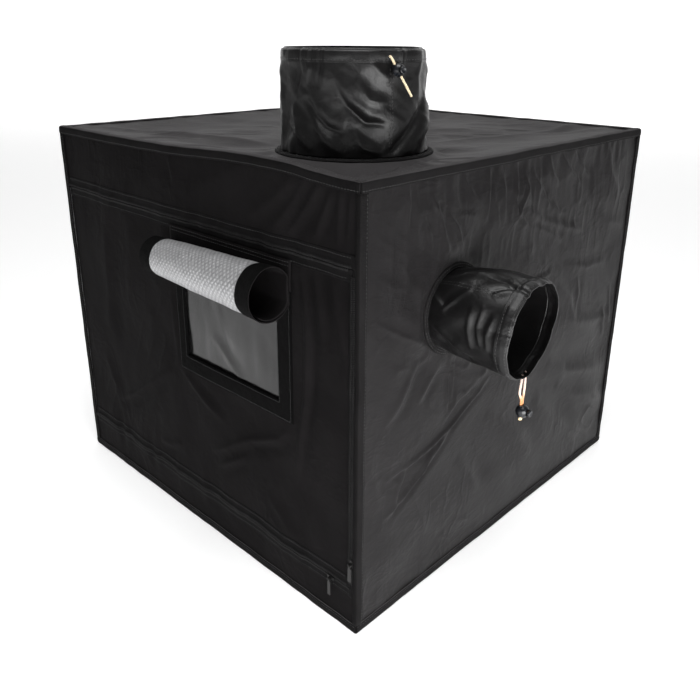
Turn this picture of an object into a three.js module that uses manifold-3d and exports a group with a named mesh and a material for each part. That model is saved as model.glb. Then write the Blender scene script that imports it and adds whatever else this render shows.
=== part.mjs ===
// A soft enclosure for a desktop printer: a steel tube frame inside a sewn cover, with a zipped
// door, a window under a rolled-up flap, and two drawcord duct sleeves, one on the roof and one on
// the right wall. Millimetres, +Z up, origin at the centre of the underside. The door faces -Y.
import * as THREE from "three";
import { mergeVertices } from "three/addons/utils/BufferGeometryUtils.js";
import Module from "manifold-3d";

const wasm = await Module();
wasm.setup();

const GAP = 0.3;

// The cover's outside and its cloth.
const HALF = 300;
const HEIGHT = 522;
const CLOTH = 1.2;
const BINDING = 9.5;
const SIDE_INNER = HALF - CLOTH;

// The frame tubes and the plastic corner joints.
const TUBE_R = 8;
const TUBE_WALL = 1.2;
const JOINT_R = 10.5;
const ARM = 34;
const AXIS = 286.8;
const LOW_AXIS = 12.6;
const HIGH_AXIS = HEIGHT - 13;
const SOCKET = 14;

// The zip: one chain along the top, the right side and the bottom of the door.
const ZIP_TOP = 438;
const ZIP_BOTTOM = 60;
const ZIP_SIDE = 292;
const TAPE = 14;
const SIDE_TAPE = 6;
const COIL_W = 3;
const COIL_UP = 1.2;
const HINGE_X = -290;

// The window in the door.
const PANE = { x0: -8, x1: 186, z0: 249, z1: 403 };
const HOOK_OUT = { x0: -18, x1: 202, z0: 234, z1: 417 };
const HOOK_IN = { x0: 0, x1: 178, z0: 257, z1: 395 };
const HOOK_Y = -HALF - GAP;

// The window flap, rolled up outwards and hung from a seam above the window.
const FLAP = { x0: -20, x1: 205, top: 429, thick: 1.2 };
const ROLL = { y: -327.2, z: 394.5, r: 24.4, pitch: 2.7, turns: 1.35, thick: 1.4 };

// The duct sleeves: centre, radii at the wall and at the mouth, length, hem and droop.
const SIDE = { u: -147, v: 360, base: 48, mouth: 53, long: 88, hem: 14, droop: 1.5, ring: 54, hole: 46 };
const TOP = { u: 148, v: -150, base: 88, mouth: 83, long: 100, hem: 14, droop: 0, ring: 94, hole: 86 };
const RING_T = 1.5;
const HEM_T = 2.6;
const CORD_R = 1.3;
const TOP_EXIT = THREE.MathUtils.degToRad(-17);

const meshes = new THREE.Group();

function add(name, geometry, color, roughness) {
  const mesh = new THREE.Mesh(geometry, new THREE.MeshStandardMaterial({ color, roughness }));
  mesh.name = name;
  meshes.add(mesh);
}

// ---- Solids and booleans ----

function manifoldOf(geometry) {
  const bare = geometry.clone();
  bare.deleteAttribute("normal");
  bare.deleteAttribute("uv");
  const welded = mergeVertices(bare, 1e-4);
  const vertProperties = new Float32Array(welded.attributes.position.array);
  const triVerts = new Uint32Array(welded.index.array);
  return new wasm.Manifold(new wasm.Mesh({ numProp: 3, vertProperties, triVerts }));
}

function geometryOf(manifold) {
  const mesh = manifold.getMesh();
  const geometry = new THREE.BufferGeometry();
  geometry.setAttribute("position", new THREE.BufferAttribute(new Float32Array(mesh.vertProperties), 3));
  geometry.setIndex(new THREE.BufferAttribute(new Uint32Array(mesh.triVerts), 1));
  return geometry;
}

function joined(...geometries) {
  const [first, ...rest] = geometries.map(manifoldOf);
  return geometryOf(rest.reduce((sum, part) => sum.add(part), first));
}

function cut(from, ...holes) {
  return geometryOf(holes.map(manifoldOf).reduce((left, hole) => left.subtract(hole), manifoldOf(from)));
}

function box(x0, x1, y0, y1, z0, z1) {
  const geometry = new THREE.BoxGeometry(1, 1, 1);
  const at = geometry.attributes.position;
  for (let i = 0; i < at.count; i += 1) {
    at.setXYZ(i, at.getX(i) < 0 ? x0 : x1, at.getY(i) < 0 ? y0 : y1, at.getZ(i) < 0 ? z0 : z1);
  }
  return geometry;
}

// Turns a solid made along +Z so that it runs along one of the world's axes.
const ALONG = {
  x: new THREE.Matrix4().makeBasis(
    new THREE.Vector3(0, 1, 0),
    new THREE.Vector3(0, 0, 1),
    new THREE.Vector3(1, 0, 0),
  ),
  y: new THREE.Matrix4().makeBasis(
    new THREE.Vector3(0, 0, 1),
    new THREE.Vector3(1, 0, 0),
    new THREE.Vector3(0, 1, 0),
  ),
  z: new THREE.Matrix4(),
};

// A rod, or a pipe if it has a bore, centred on a point and running along an axis.
function rod(axis, x, y, z, radius, length, bore = 0, sides = 20) {
  const a = -length / 2;
  const b = length / 2;
  const section = [[bore, a], [radius, a], [radius, b], [bore, b]];
  if (bore > 0) section.push([bore, a]);
  const profile = section.map(([r, h]) => new THREE.Vector2(r, h));
  const geometry = new THREE.LatheGeometry(profile, sides);
  geometry.rotateX(Math.PI / 2);
  geometry.applyMatrix4(ALONG[axis]);
  geometry.translate(x, y, z);
  return geometry;
}

// ---- The frame ----

function frameTubes() {
  const long = 2 * (AXIS - SOCKET);
  const tall = HIGH_AXIS - LOW_AXIS - 2 * SOCKET;
  const levels = [["bottom", LOW_AXIS], ["top", HIGH_AXIS]];
  const sides = [["left", -AXIS], ["right", AXIS]];
  const ends = [["front", -AXIS], ["back", AXIS]];
  const bore = TUBE_R - TUBE_WALL;
  for (const [level, z] of levels) {
    for (const [end, y] of ends) add(`rail_${level}_${end}`, rod("x", 0, y, z, TUBE_R, long, bore), 0xb9bcc0, 0.35);
    for (const [side, x] of sides) add(`rail_${level}_${side}`, rod("y", x, 0, z, TUBE_R, long, bore), 0xb9bcc0, 0.35);
  }
  const middle = (LOW_AXIS + HIGH_AXIS) / 2;
  for (const [end, y] of ends) {
    for (const [side, x] of sides) add(`post_${end}_${side}`, rod("z", x, y, middle, TUBE_R, tall, bore), 0xb9bcc0, 0.35);
  }
}

// One three-way corner joint: three sleeves from a common centre, each bored for its tube.
function cornerJoint(x, y, z) {
  const inX = -Math.sign(x);
  const inY = -Math.sign(y);
  const inZ = z < HEIGHT / 2 ? 1 : -1;
  const half = ARM / 2;
  const bore = TUBE_R + GAP;
  const depth = ARM - SOCKET + 1;
  const mid = ARM - depth / 2 + 0.6;
  const body = joined(
    rod("x", x + inX * half, y, z, JOINT_R, ARM),
    rod("y", x, y + inY * half, z, JOINT_R, ARM),
    rod("z", x, y, z + inZ * half, JOINT_R, ARM),
    new THREE.SphereGeometry(JOINT_R, 20, 12).translate(x, y, z),
  );
  return cut(
    body,
    rod("x", x + inX * mid, y, z, bore, depth),
    rod("y", x, y + inY * mid, z, bore, depth),
    rod("z", x, y, z + inZ * mid, bore, depth),
  );
}

function cornerJoints() {
  for (const [level, z] of [["bottom", LOW_AXIS], ["top", HIGH_AXIS]]) {
    for (const [end, y] of [["front", -AXIS], ["back", AXIS]]) {
      for (const [side, x] of [["left", -AXIS], ["right", AXIS]]) {
        add(`joint_${level}_${end}_${side}`, cornerJoint(x, y, z), 0x1b1b1d, 0.55);
      }
    }
  }
}

// ---- The cover ----

function coverPanels() {
  const low = CLOTH + GAP;
  const high = HEIGHT - CLOTH - GAP;
  const inside = SIDE_INNER - GAP;
  const front = -HALF + CLOTH;
  const roof = box(-HALF, HALF, -HALF, HALF, HEIGHT - CLOTH, HEIGHT);
  add("floor_panel", box(-HALF, HALF, -HALF, HALF, 0, CLOTH), 0x2a2a2c, 0.85);
  add("roof_panel", cut(roof, rod("z", TOP.u, TOP.v, HEIGHT, TOP.hole, 20, 0, 48)), 0x3c3b3d, 0.85);
  const right = box(SIDE_INNER, HALF, -HALF, HALF, low, high);
  add("right_wall", cut(right, rod("x", HALF, SIDE.u, SIDE.v, SIDE.hole, 20, 0, 40)), 0x343335, 0.85);
  add("left_wall", box(-HALF, -SIDE_INNER, -HALF, HALF, low, high), 0x343335, 0.85);
  add("back_wall", box(-inside, inside, SIDE_INNER, HALF, low, high), 0x343335, 0.85);
  add("front_header", box(-inside, inside, -HALF, front, ZIP_TOP + TAPE + GAP, high), 0x2a292b, 0.85);
  add("front_sill", box(-inside, inside, -HALF, front, low, ZIP_BOTTOM - TAPE - GAP), 0x2a292b, 0.85);
}

// The tape that binds the cover's edges: a folded frame round the roof, a band round the floor's
// edge, and an angle down each upright corner. The near right one leaves the zip free.
function edgeBindings() {
  const near = HALF + GAP;
  const far = near + CLOTH;
  const legs = far - BINDING;
  const topLow = HEIGHT - BINDING;
  const topHigh = HEIGHT + GAP + CLOTH;
  const lowTop = CLOTH + GAP + BINDING;
  const cap = cut(
    box(-far, far, -far, far, topLow, topHigh),
    box(-near, near, -near, near, topLow - 1, HEIGHT + GAP),
    box(-legs, legs, -legs, legs, topLow - 1, topHigh + 1),
  );
  add("binding_top", cap, 0x1d1c1d, 0.8);
  const band = cut(
    box(-far, far, -far, far, CLOTH + GAP, lowTop),
    box(-near, near, -near, near, 0, lowTop + 1),
  );
  add("binding_bottom", band, 0x1d1c1d, 0.8);
  const z0 = lowTop + GAP;
  const z1 = topLow - GAP;
  for (const [name, sx, sy, frontLeg] of [
    ["front_left", -1, -1, BINDING],
    ["front_right", 1, -1, 4.5],
    ["back_left", -1, 1, BINDING],
    ["back_right", 1, 1, BINDING],
  ]) {
    const leg = far - frontLeg;
    const across = box(...span(sx, leg, far), ...span(sy, near, far), z0, z1);
    const along = box(...span(sx, near, far), ...span(sy, legs, far), z0, z1);
    add(`binding_${name}`, joined(across, along), 0x1d1c1d, 0.8);
  }
}

function span(sign, a, b) {
  return sign > 0 ? [a, b] : [-b, -a];
}

// ---- The zip ----

// One half of the chain: tape on three sides of the door with the coil along its free edge.
// way is 1 for the half sewn to the cover and -1 for the half sewn to the door.
function zipHalf(way, left) {
  const edge = way * GAP / 2;
  const top = [ZIP_TOP + edge, ZIP_TOP + way * TAPE];
  const bottom = [ZIP_BOTTOM - edge, ZIP_BOTTOM - way * TAPE];
  const side = [ZIP_SIDE + edge, ZIP_SIDE + way * SIDE_TAPE];
  const sorted = (pair) => [Math.min(...pair), Math.max(...pair)];
  const coil = (pair) => sorted([pair[0], pair[0] + Math.sign(pair[1] - pair[0]) * COIL_W]);
  const right = way > 0 ? side[1] : side[0];
  const [z0, z1] = way > 0 ? [bottom[1], top[1]] : [bottom[0], top[0]];
  const y0 = -HALF;
  const y1 = -HALF + CLOTH;
  const up = y0 - COIL_UP;
  const coilRight = way > 0 ? coil(side)[1] : side[0];
  const coilLow = way > 0 ? coil(bottom)[0] : bottom[0];
  const coilHigh = way > 0 ? coil(top)[1] : top[0];
  return joined(
    box(left, right, y0, y1, ...sorted(top)),
    box(left, right, y0, y1, ...sorted(bottom)),
    box(...sorted(side), y0, y1, z0, z1),
    box(left, coilRight, up, y1, ...coil(top)),
    box(left, coilRight, up, y1, ...coil(bottom)),
    box(...coil(side), up, y1, coilLow, coilHigh),
  );
}

// A slider that hooks over the coil sewn to the cover, with two ears and a bar for its pull.
// It is made for an upright zip, about the point where the coil's face and free edge meet.
function sliderBody() {
  const plate = box(0.2, 4.4, -GAP - 1.7, -GAP, -5, 5);
  const hook = box(COIL_W + GAP, 4.4, -GAP - 1.7, COIL_UP - GAP, -5, 5);
  const ears = [[0.2, 0.95], [3.65, 4.4]].map(([a, b]) => box(a, b, BAR_Y - 1, -GAP - 1, -1.3, 1.3));
  return joined(plate, hook, ...ears, rod("x", 2.3, BAR_Y, 0, 0.7, 3.4, 0, 12));
}

const BAR_Y = -4.3;

// The pull hangs from the slider's bar by an eye: a neck between the ears, then a flat tab.
function sliderPull() {
  const eye = rod("x", 2.3, BAR_Y, 0, 1.9, 2.1, 0, 16);
  const neck = box(1.25, 3.35, BAR_Y - 0.6, BAR_Y + 0.6, -4.5, -1);
  const tab = box(0, 4.6, BAR_Y - 0.6, BAR_Y + 0.6, -22, -3.6);
  return cut(joined(eye, neck, tab), rod("x", 2.3, BAR_Y, 0, 1.05, 6, 0, 12));
}

// For the bottom run the slider is laid over, with its hook on the lower side, and the same pull
// hangs from it.
function bottomSlider() {
  const plate = box(-5, 5, -GAP - 1.7, -GAP, -4.4, -0.2);
  const hook = box(-5, 5, -GAP - 1.7, COIL_UP - GAP, -4.4, -COIL_W - GAP);
  const ears = [[-2.1, -1.35], [1.35, 2.1]].map(([a, b]) => box(a, b, BAR_Y - 1, -GAP - 1, -3.6, -1));
  return joined(plate, hook, ...ears, rod("x", 0, BAR_Y, -2.3, 0.7, 3.4, 0, 12));
}

const SIDE_SLIDER_Z = 95;
const BOTTOM_SLIDER_X = 262;

function zips() {
  add("zip_cover_half", zipHalf(1, BINDING - HALF - CLOTH), 0x161516, 0.7);
  add("zip_door_half", zipHalf(-1, HINGE_X + GAP), 0x161516, 0.7);
  const face = -HALF - COIL_UP;
  const side = [ZIP_SIDE + GAP / 2, face, SIDE_SLIDER_Z];
  const bottom = [BOTTOM_SLIDER_X, face, ZIP_BOTTOM - GAP / 2];
  add("zip_slider_side", sliderBody().translate(...side), 0x9a9a9c, 0.35);
  add("zip_pull_side", sliderPull().translate(...side), 0x9a9a9c, 0.35);
  add("zip_slider_bottom", bottomSlider().translate(...bottom), 0x9a9a9c, 0.35);
  add("zip_pull_bottom", sliderPull().translate(bottom[0] - 2.3, bottom[1], bottom[2] - 2.3), 0x9a9a9c, 0.35);
}

// ---- The door and its window ----

function doorParts() {
  const front = -HALF + CLOTH;
  const hole = box(PANE.x0, PANE.x1, -HALF - 5, front + 5, PANE.z0, PANE.z1);
  const right = ZIP_SIDE - SIDE_TAPE - GAP;
  const panel = box(
    HINGE_X + GAP, right, -HALF, front, ZIP_BOTTOM + TAPE + GAP, ZIP_TOP - TAPE - GAP,
  );
  add("door_panel", cut(panel, hole), 0x2a292b, 0.85);
  const pane = box(
    PANE.x0 + GAP, PANE.x1 - GAP, -HALF + GAP, front - GAP / 2, PANE.z0 + GAP, PANE.z1 - GAP,
  );
  add("window_pane", pane, 0x4a494a, 0.2);
  const strip = cut(
    box(HOOK_OUT.x0, HOOK_OUT.x1, HOOK_Y - CLOTH, HOOK_Y, HOOK_OUT.z0, HOOK_OUT.z1),
    box(HOOK_IN.x0, HOOK_IN.x1, HOOK_Y - 5, HOOK_Y + 5, HOOK_IN.z0, HOOK_IN.z1),
  );
  add("window_hook_frame", strip, 0x100f0f, 0.95);
  const flapBack = HOOK_Y - CLOTH - GAP;
  const sheet = box(FLAP.x0, FLAP.x1, flapBack - FLAP.thick, flapBack, ROLL.z + GAP, FLAP.top);
  add("flap_sheet", sheet, 0x1c1b1c, 0.85);
  add("flap_roll", flapRoll(), 0xb4b4b6, 0.35);
}

// The rolled flap: a strip wound from the back, under, and up over the front.
function flapRoll() {
  const steps = 44;
  const outer = [];
  const inner = [];
  for (let i = 0; i <= steps; i += 1) {
    const turn = (i / steps) * ROLL.turns;
    const angle = -turn * 2 * Math.PI;
    const r = ROLL.r - turn * ROLL.pitch;
    outer.push(new THREE.Vector2(r * Math.cos(angle), r * Math.sin(angle)));
    const s = r - ROLL.thick;
    inner.push(new THREE.Vector2(s * Math.cos(angle), s * Math.sin(angle)));
  }
  const shape = new THREE.Shape([...outer, ...inner.reverse()]);
  const roll = new THREE.ExtrudeGeometry(shape, { depth: FLAP.x1 - FLAP.x0, bevelEnabled: false });
  roll.applyMatrix4(ALONG.x);
  roll.translate(FLAP.x0, ROLL.y, ROLL.z);
  return roll;
}

// ---- The duct sleeves ----

// How far out the cloth stands at an angle round a sleeve, t of the way from wall to mouth.
function sleeveRadius(port, t, angle) {
  const slack = t * (0.035 * Math.cos(3 * angle + 0.6) + 0.02 * Math.cos(5 * angle - 1));
  return (port.base + (port.mouth - port.base) * t) * (1 + slack);
}

// A closed shell between two distances from the wall, around the sleeve's drooping centre line.
function sleeveShell(port, from, to, thick, stations, sides) {
  const whole = port.long + port.hem;
  const points = [];
  for (const depth of [0, thick]) {
    for (let i = 0; i <= stations; i += 1) {
      const w = from + ((to - from) * i) / stations;
      const t = w / whole;
      for (let j = 0; j < sides; j += 1) {
        const angle = (j / sides) * 2 * Math.PI;
        const r = sleeveRadius(port, t, angle) - depth;
        points.push(port.u + r * Math.cos(angle), port.v - port.droop * t * t + r * Math.sin(angle), w);
      }
    }
  }
  const ring = (layer, i) => (layer * (stations + 1) + i) * sides;
  const index = [];
  const quad = (a, b, c, d) => index.push(a, b, c, a, c, d);
  for (let j = 0; j < sides; j += 1) {
    const k = (j + 1) % sides;
    for (let i = 0; i < stations; i += 1) {
      quad(ring(0, i) + j, ring(0, i) + k, ring(0, i + 1) + k, ring(0, i + 1) + j);
      quad(ring(1, i) + k, ring(1, i) + j, ring(1, i + 1) + j, ring(1, i + 1) + k);
    }
    quad(ring(0, 0) + k, ring(0, 0) + j, ring(1, 0) + j, ring(1, 0) + k);
    quad(ring(0, stations) + j, ring(0, stations) + k, ring(1, stations) + k, ring(1, stations) + j);
  }
  const geometry = new THREE.BufferGeometry();
  geometry.setAttribute("position", new THREE.Float32BufferAttribute(points, 3));
  geometry.setIndex(index);
  return geometry;
}

function duct(name, port, axis, wall) {
  const seat = wall + GAP;
  const root = seat + RING_T + GAP;
  const sides = 40;
  const placed = (geometry, at) => {
    geometry.translate(0, 0, at);
    geometry.applyMatrix4(ALONG[axis]);
    return geometry;
  };
  const flange = rod("z", port.u, port.v, RING_T / 2, port.ring, RING_T, port.hole, sides);
  add(`${name}_port_ring`, placed(flange, seat), 0x222122, 0.75);
  const cloth = sleeveShell(port, 0, port.long, CLOTH, 4, sides);
  add(`${name}_sleeve`, placed(cloth, root), 0x2b2a2b, 0.55);
  const hem = sleeveShell(port, port.long + GAP, port.long + port.hem, HEM_T, 1, sides);
  add(`${name}_hem`, placed(hem, root), 0x2b2a2b, 0.55);
}

// ---- Drawcords and their locks ----

function cordAlong(points) {
  const curve = new THREE.CatmullRomCurve3(points.map((p) => new THREE.Vector3(...p)));
  const section = new THREE.Shape();
  section.absarc(0, 0, CORD_R, 0, 2 * Math.PI);
  return new THREE.ExtrudeGeometry(section, {
    steps: 24,
    curveSegments: 4,
    bevelEnabled: false,
    extrudePath: curve,
  });
}

// A ball lock: the cord runs up through a slot behind the middle, and a button on the outer side.
function lockBall(radius, slotHalf) {
  return cut(
    new THREE.SphereGeometry(radius, 20, 14),
    box(-3.5, 0, -slotHalf, slotHalf, -radius - 1, radius + 1),
    rod("x", 1.5 + radius / 2, 0, 0, BUTTON_R + GAP, radius, 0, 20),
  );
}

function lockButton(radius) {
  return rod("x", radius * 0.62 + 3, 0, 0, BUTTON_R, 6, 0, 20);
}

const BUTTON_R = 3.9;
const SIDE_BALL = 7.5;
const TOP_BALL = 7;
const CORD_BACK = 1.75;
const TAIL_LEAN = (33.7 * Math.PI) / 180;

function sideDrawcord() {
  const x = HALF + GAP * 2 + RING_T + SIDE.long + SIDE.hem / 2;
  const end = (SIDE.long + SIDE.hem / 2) / (SIDE.long + SIDE.hem);
  const hemLow = SIDE.v - SIDE.droop * end * end - sleeveRadius(SIDE, end, -Math.PI / 2) - 1.8;
  const y = SIDE.u + 2.5;
  const ball = [x + CORD_BACK, y, 266];
  const a = y + 1.6;
  const b = y - 1.6;
  add("side_cord_a", cordAlong([
    [x, a + 1.5, hemLow - 1.2],
    [x, a + 1.2, 290],
    [x, a, 280],
    [x, a, 268],
    [x, a, 254],
  ]), 0xe3cfa2, 0.8);
  add("side_cord_b", cordAlong([
    [x, b - 1.5, hemLow - 1.2],
    [x, b - 4.5, 290],
    [x, b, 280],
    [x, b, 268],
    [x, b, 255],
  ]), 0xe3cfa2, 0.8);
  add("side_lock", lockBall(SIDE_BALL, 3.5).translate(...ball), 0x141416, 0.4);
  add("side_lock_button", lockButton(SIDE_BALL).translate(...ball), 0x141416, 0.4);
}

function topDrawcord() {
  const root = HEIGHT + GAP * 2 + RING_T;
  const hemLow = root + TOP.long + GAP;
  const end = (TOP.long + 4) / (TOP.long + TOP.hem);
  const face = sleeveRadius(TOP, end, TOP_EXIT);
  const out = face + 1.5 + TOP_BALL;
  const ballZ = hemLow - 8;
  // A point by its distance from the sleeve's axis, how far it is to the right, and its height.
  const at = (r, right, z) => [
    TOP.u + r * Math.cos(TOP_EXIT) - right * Math.sin(TOP_EXIT),
    TOP.v + r * Math.sin(TOP_EXIT) + right * Math.cos(TOP_EXIT),
    z,
  ];
  // A point on the tail's own line, which slants down to the right through the ball.
  const along = (d) => at(out - CORD_BACK, d * Math.sin(TAIL_LEAN), ballZ - d * Math.cos(TAIL_LEAN));
  add("top_cord", cordAlong([
    at(face + 2.4, -7.4, hemLow + 5.4),
    at(out - CORD_BACK - 2, -7.2, hemLow + 4.4),
    along(-9.6),
    along(0),
    along(33),
  ]), 0xe3cfa2, 0.8);
  const placed = (shape) => shape.rotateX(TAIL_LEAN).rotateZ(TOP_EXIT).translate(...at(out, 0, ballZ));
  add("top_lock", placed(lockBall(TOP_BALL, 1.9)), 0x141416, 0.4);
  add("top_lock_button", placed(lockButton(TOP_BALL)), 0x141416, 0.4);
}

frameTubes();
cornerJoints();
coverPanels();
edgeBindings();
zips();
doorParts();
duct("side", SIDE, "x", HALF);
duct("top", TOP, "z", HEIGHT);
sideDrawcord();
topDrawcord();

export default meshes;
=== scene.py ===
import math

import bpy
import numpy as np
from mathutils import Matrix, Vector


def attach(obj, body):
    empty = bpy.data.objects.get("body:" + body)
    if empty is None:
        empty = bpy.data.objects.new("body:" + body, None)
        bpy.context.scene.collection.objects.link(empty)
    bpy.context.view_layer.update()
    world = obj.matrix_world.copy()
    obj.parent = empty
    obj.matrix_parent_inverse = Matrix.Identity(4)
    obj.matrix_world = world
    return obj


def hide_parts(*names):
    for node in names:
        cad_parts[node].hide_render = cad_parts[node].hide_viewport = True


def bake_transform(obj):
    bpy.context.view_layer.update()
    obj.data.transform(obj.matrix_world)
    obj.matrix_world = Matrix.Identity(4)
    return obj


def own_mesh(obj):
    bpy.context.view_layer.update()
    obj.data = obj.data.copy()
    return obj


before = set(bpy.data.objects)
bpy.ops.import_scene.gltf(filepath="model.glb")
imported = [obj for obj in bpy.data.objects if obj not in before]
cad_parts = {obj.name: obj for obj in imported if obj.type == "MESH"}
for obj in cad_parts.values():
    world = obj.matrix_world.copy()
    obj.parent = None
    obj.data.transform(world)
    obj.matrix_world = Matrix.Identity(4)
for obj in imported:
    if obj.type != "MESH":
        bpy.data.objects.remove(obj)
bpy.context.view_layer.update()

MM = 0.001

# The cover, as the CAD has it, in millimetres.
HALF = 300.0
HIGH = 522.0
LOW = 1.5
ZIP_TOP = 438.0
ZIP_BOTTOM = 60.0
ZIP_SIDE = 292.0
TAPE = 14.0
SIDE_TAPE = 6.0
HINGE_X = -289.7
CLOTH = 1.0
# How far a panel runs on under the tape or band sewn over its edge.
TUCK = 3.0
# Where the panels end under the bindings: the front and back, the sides, the roof and floor.
EDGE_FRONT = 298.4
EDGE_SIDE = 299.2
EDGE_ROOF = 299.4
# Grid lines on the panels, apart in mm: where the photo shows them, and where it does not.
FINE = 2.5
COARSE = 4.5
STITCH_PITCH = 4.0


# ---- Numbers over a surface ----

def smooth_noise(u, v, seed, period=None):
    """Smooth noise from -1 to 1, one bump to a unit; it repeats in u after period units."""
    table = np.random.default_rng(seed).uniform(-1, 1, (128, 128))
    iu, iv = np.floor(u).astype(int), np.floor(v).astype(int)
    fu, fv = u - iu, v - iv
    fu = fu * fu * fu * (fu * (fu * 6 - 15) + 10)
    fv = fv * fv * fv * (fv * (fv * 6 - 15) + 10)
    wrap = period or 128

    def at(a, b):
        return table[(iu + a) % wrap, (iv + b) % 128]

    low = at(0, 0) * (1 - fu) + at(1, 0) * fu
    high = at(0, 1) * (1 - fu) + at(1, 1) * fu
    return low * (1 - fv) + high * fv


def ridges(u, v, seed, period=None):
    """Sharp-topped ripples from 0 to 1, as creased cloth has."""
    return (1 - np.abs(smooth_noise(u, v, seed, period))) ** 3


def turned(u, v, degrees):
    """The coordinates on axes turned by an angle."""
    c, s = math.cos(math.radians(degrees)), math.sin(math.radians(degrees))
    return u * c + v * s, v * c - u * s


def step(x, a, b):
    """0 before a, 1 after b, smooth between."""
    t = np.clip((x - a) / (b - a), 0, 1)
    return t * t * (3 - 2 * t)


def crease(u, v, path, up, width, lean=0.6):
    """A fold along a line: a ridge with a dip on one side, fading out at both ends."""
    spans = [(a, b, math.dist(a, b)) for a, b in zip(path, path[1:])]
    whole = sum(s for _, _, s in spans)
    near = np.full(u.shape, np.inf)
    side = np.ones(u.shape)
    along = np.zeros(u.shape)
    run = 0.0
    for a, b, long in spans:
        eu, ev = (b[0] - a[0]) / long, (b[1] - a[1]) / long
        t = np.clip((u - a[0]) * eu + (v - a[1]) * ev, 0, long)
        du, dv = u - a[0] - t * eu, v - a[1] - t * ev
        far = np.hypot(du, dv)
        closer = far < near
        near = np.where(closer, far, near)
        side = np.where(closer, np.sign(eu * dv - ev * du), side)
        along = np.where(closer, (run + t) / whole, along)
        run += long
    fade = np.sin(np.pi * along) ** 0.6
    across = near * side / width
    ridge = 1 / (1 + across * across) ** 1.5
    dip = np.exp(-(((across - 2.0) / 1.5) ** 2))
    return up * fade * (ridge - lean * dip)


def creases(u, v, rows):
    """The sum of several folds: (path, height in mm, width in mm)."""
    return sum(crease(u, v, path, up, width) for path, up, width in rows)


def puckers(along, away, pitch, up, reach, seed):
    """Short ripples across a sewn edge: they stand at right angles to it and die out within reach."""
    beat = smooth_noise(along / pitch, away / (6 * pitch), seed)
    return up * beat * np.exp(-np.abs(away) / reach)


# ---- The cover's own shape: how far each face stands out, in mm ----

FRONT_FOLDS = [
    # The header, fanning down and left from the near top corner.
    (((222, 520), (176, 486), (124, 458)), 2.6, 6),
    (((232, 520), (206, 488), (172, 458)), 2.4, 5),
    (((252, 520), (224, 484), (196, 456)), 2.6, 5),
    (((262, 510), (250, 484), (236, 456)), 2.2, 4),
    (((276, 520), (272, 490), (270, 454)), 2.0, 4),
    (((290, 516), (286, 490), (284, 462)), 1.8, 4),
    (((150, 520), (60, 488), (-20, 470)), 1.6, 12),
    (((-4, 480), (-14, 500), (-22, 518)), 1.6, 5),
    # Right of the window, hanging from the upper zip.
    (((214, 422), (224, 384), (227, 345), (223, 273), (211, 207), (203, 160)), 3.6, 4.5),
    (((236, 422), (246, 386), (252, 340)), 2.6, 5),
    (((264, 422), (270, 386), (282, 340), (284, 300)), 2.4, 6),
    (((204, 420), (208, 400), (206, 380)), 1.6, 4),
    # Left of the window.
    (((-186, 424), (-192, 360), (-200, 290), (-216, 232)), 2.4, 13),
    (((-120, 424), (-132, 350), (-150, 280)), 1.8, 15),
    (((-30, 350), (-29, 290), (-27, 232)), 1.6, 4),
    (((-80, 300), (-88, 262), (-110, 230)), 1.6, 10),
    # Below the window, running down from its two corners.
    (((-44, 222), (-92, 188), (-148, 148), (-206, 116)), 4.2, 6),
    (((-20, 232), (20, 208), (70, 184)), 3.0, 6),
    (((196, 226), (176, 205), (120, 180), (66, 146), (36, 128)), 4.0, 5.5),
    (((110, 152), (84, 134), (50, 112)), 2.6, 5),
    (((-36, 112), (-62, 98), (-92, 92)), 2.2, 6),
    (((-90, 150), (-140, 108), (-160, 84)), 1.8, 9),
    (((150, 120), (176, 98), (196, 78)), 2.0, 8),
    (((214, 150), (226, 120), (240, 84)), 1.8, 8),
    (((-240, 190), (-214, 140), (-206, 96)), 1.8, 10),
]


def inner_share(u, z):
    """0 at a wall's edges and 1 well inside them, where the cloth is free to move."""
    return step(HALF - np.abs(u), 4, 60) * step(z, 8, 60) * step(HIGH - z, 8, 50)


def bulge(u, z, middle):
    """The broad bulge of a wall, 3 mm at a height of middle."""
    return 3.0 * np.cos(u / HALF * 1.4) * np.cos((z - middle) / middle * 1.3)


def front_out(x, z):
    """How far the front stands out of its plane at x, z."""
    inner = inner_share(x, z)
    belly = bulge(x, z, 250) * inner
    u, v = turned(x, z, 62)
    broad = 2.2 * smooth_noise(u / 130, v / 70, 11) * inner
    small = 0.9 * smooth_noise(x / 34, z / 60, 12) * inner
    sharp = 0.9 * ridges(u / 60, v / 26, 13) * inner * step(smooth_noise(x / 120, z / 120, 14), 0.0, 0.5)
    sewn = puckers(x, z - ZIP_TOP, 17, 1.5, 22, 15) + puckers(x, z - ZIP_BOTTOM, 15, 1.6, 22, 16)
    sewn = sewn + puckers(z, HALF - x, 24, 1.3, 26, 17) + puckers(x, HIGH - z, 21, 1.0, 20, 18)
    sewn = sewn * step(HALF - np.abs(x), 2, 10)
    flat = 1 - 0.85 * window_share(x, z)
    return (belly + (broad + small + sharp + creases(x, z, FRONT_FOLDS) + sewn) * flat) * edge_ease(x, z)


def window_share(x, z):
    """1 over the window and its stiff frame, 0 well away from it."""
    return step(x, -40, -12) * step(-x, -224, -198) * step(z, 214, 240) * step(-z, -436, -410)


def edge_ease(x, z):
    """Folds shrink towards the corners, where the bound seams hold the cloth."""
    return 0.15 + 0.85 * step(HALF - np.abs(x), 1, 16) * step(z, 2, 20) * step(HIGH - z, 2, 18)


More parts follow.
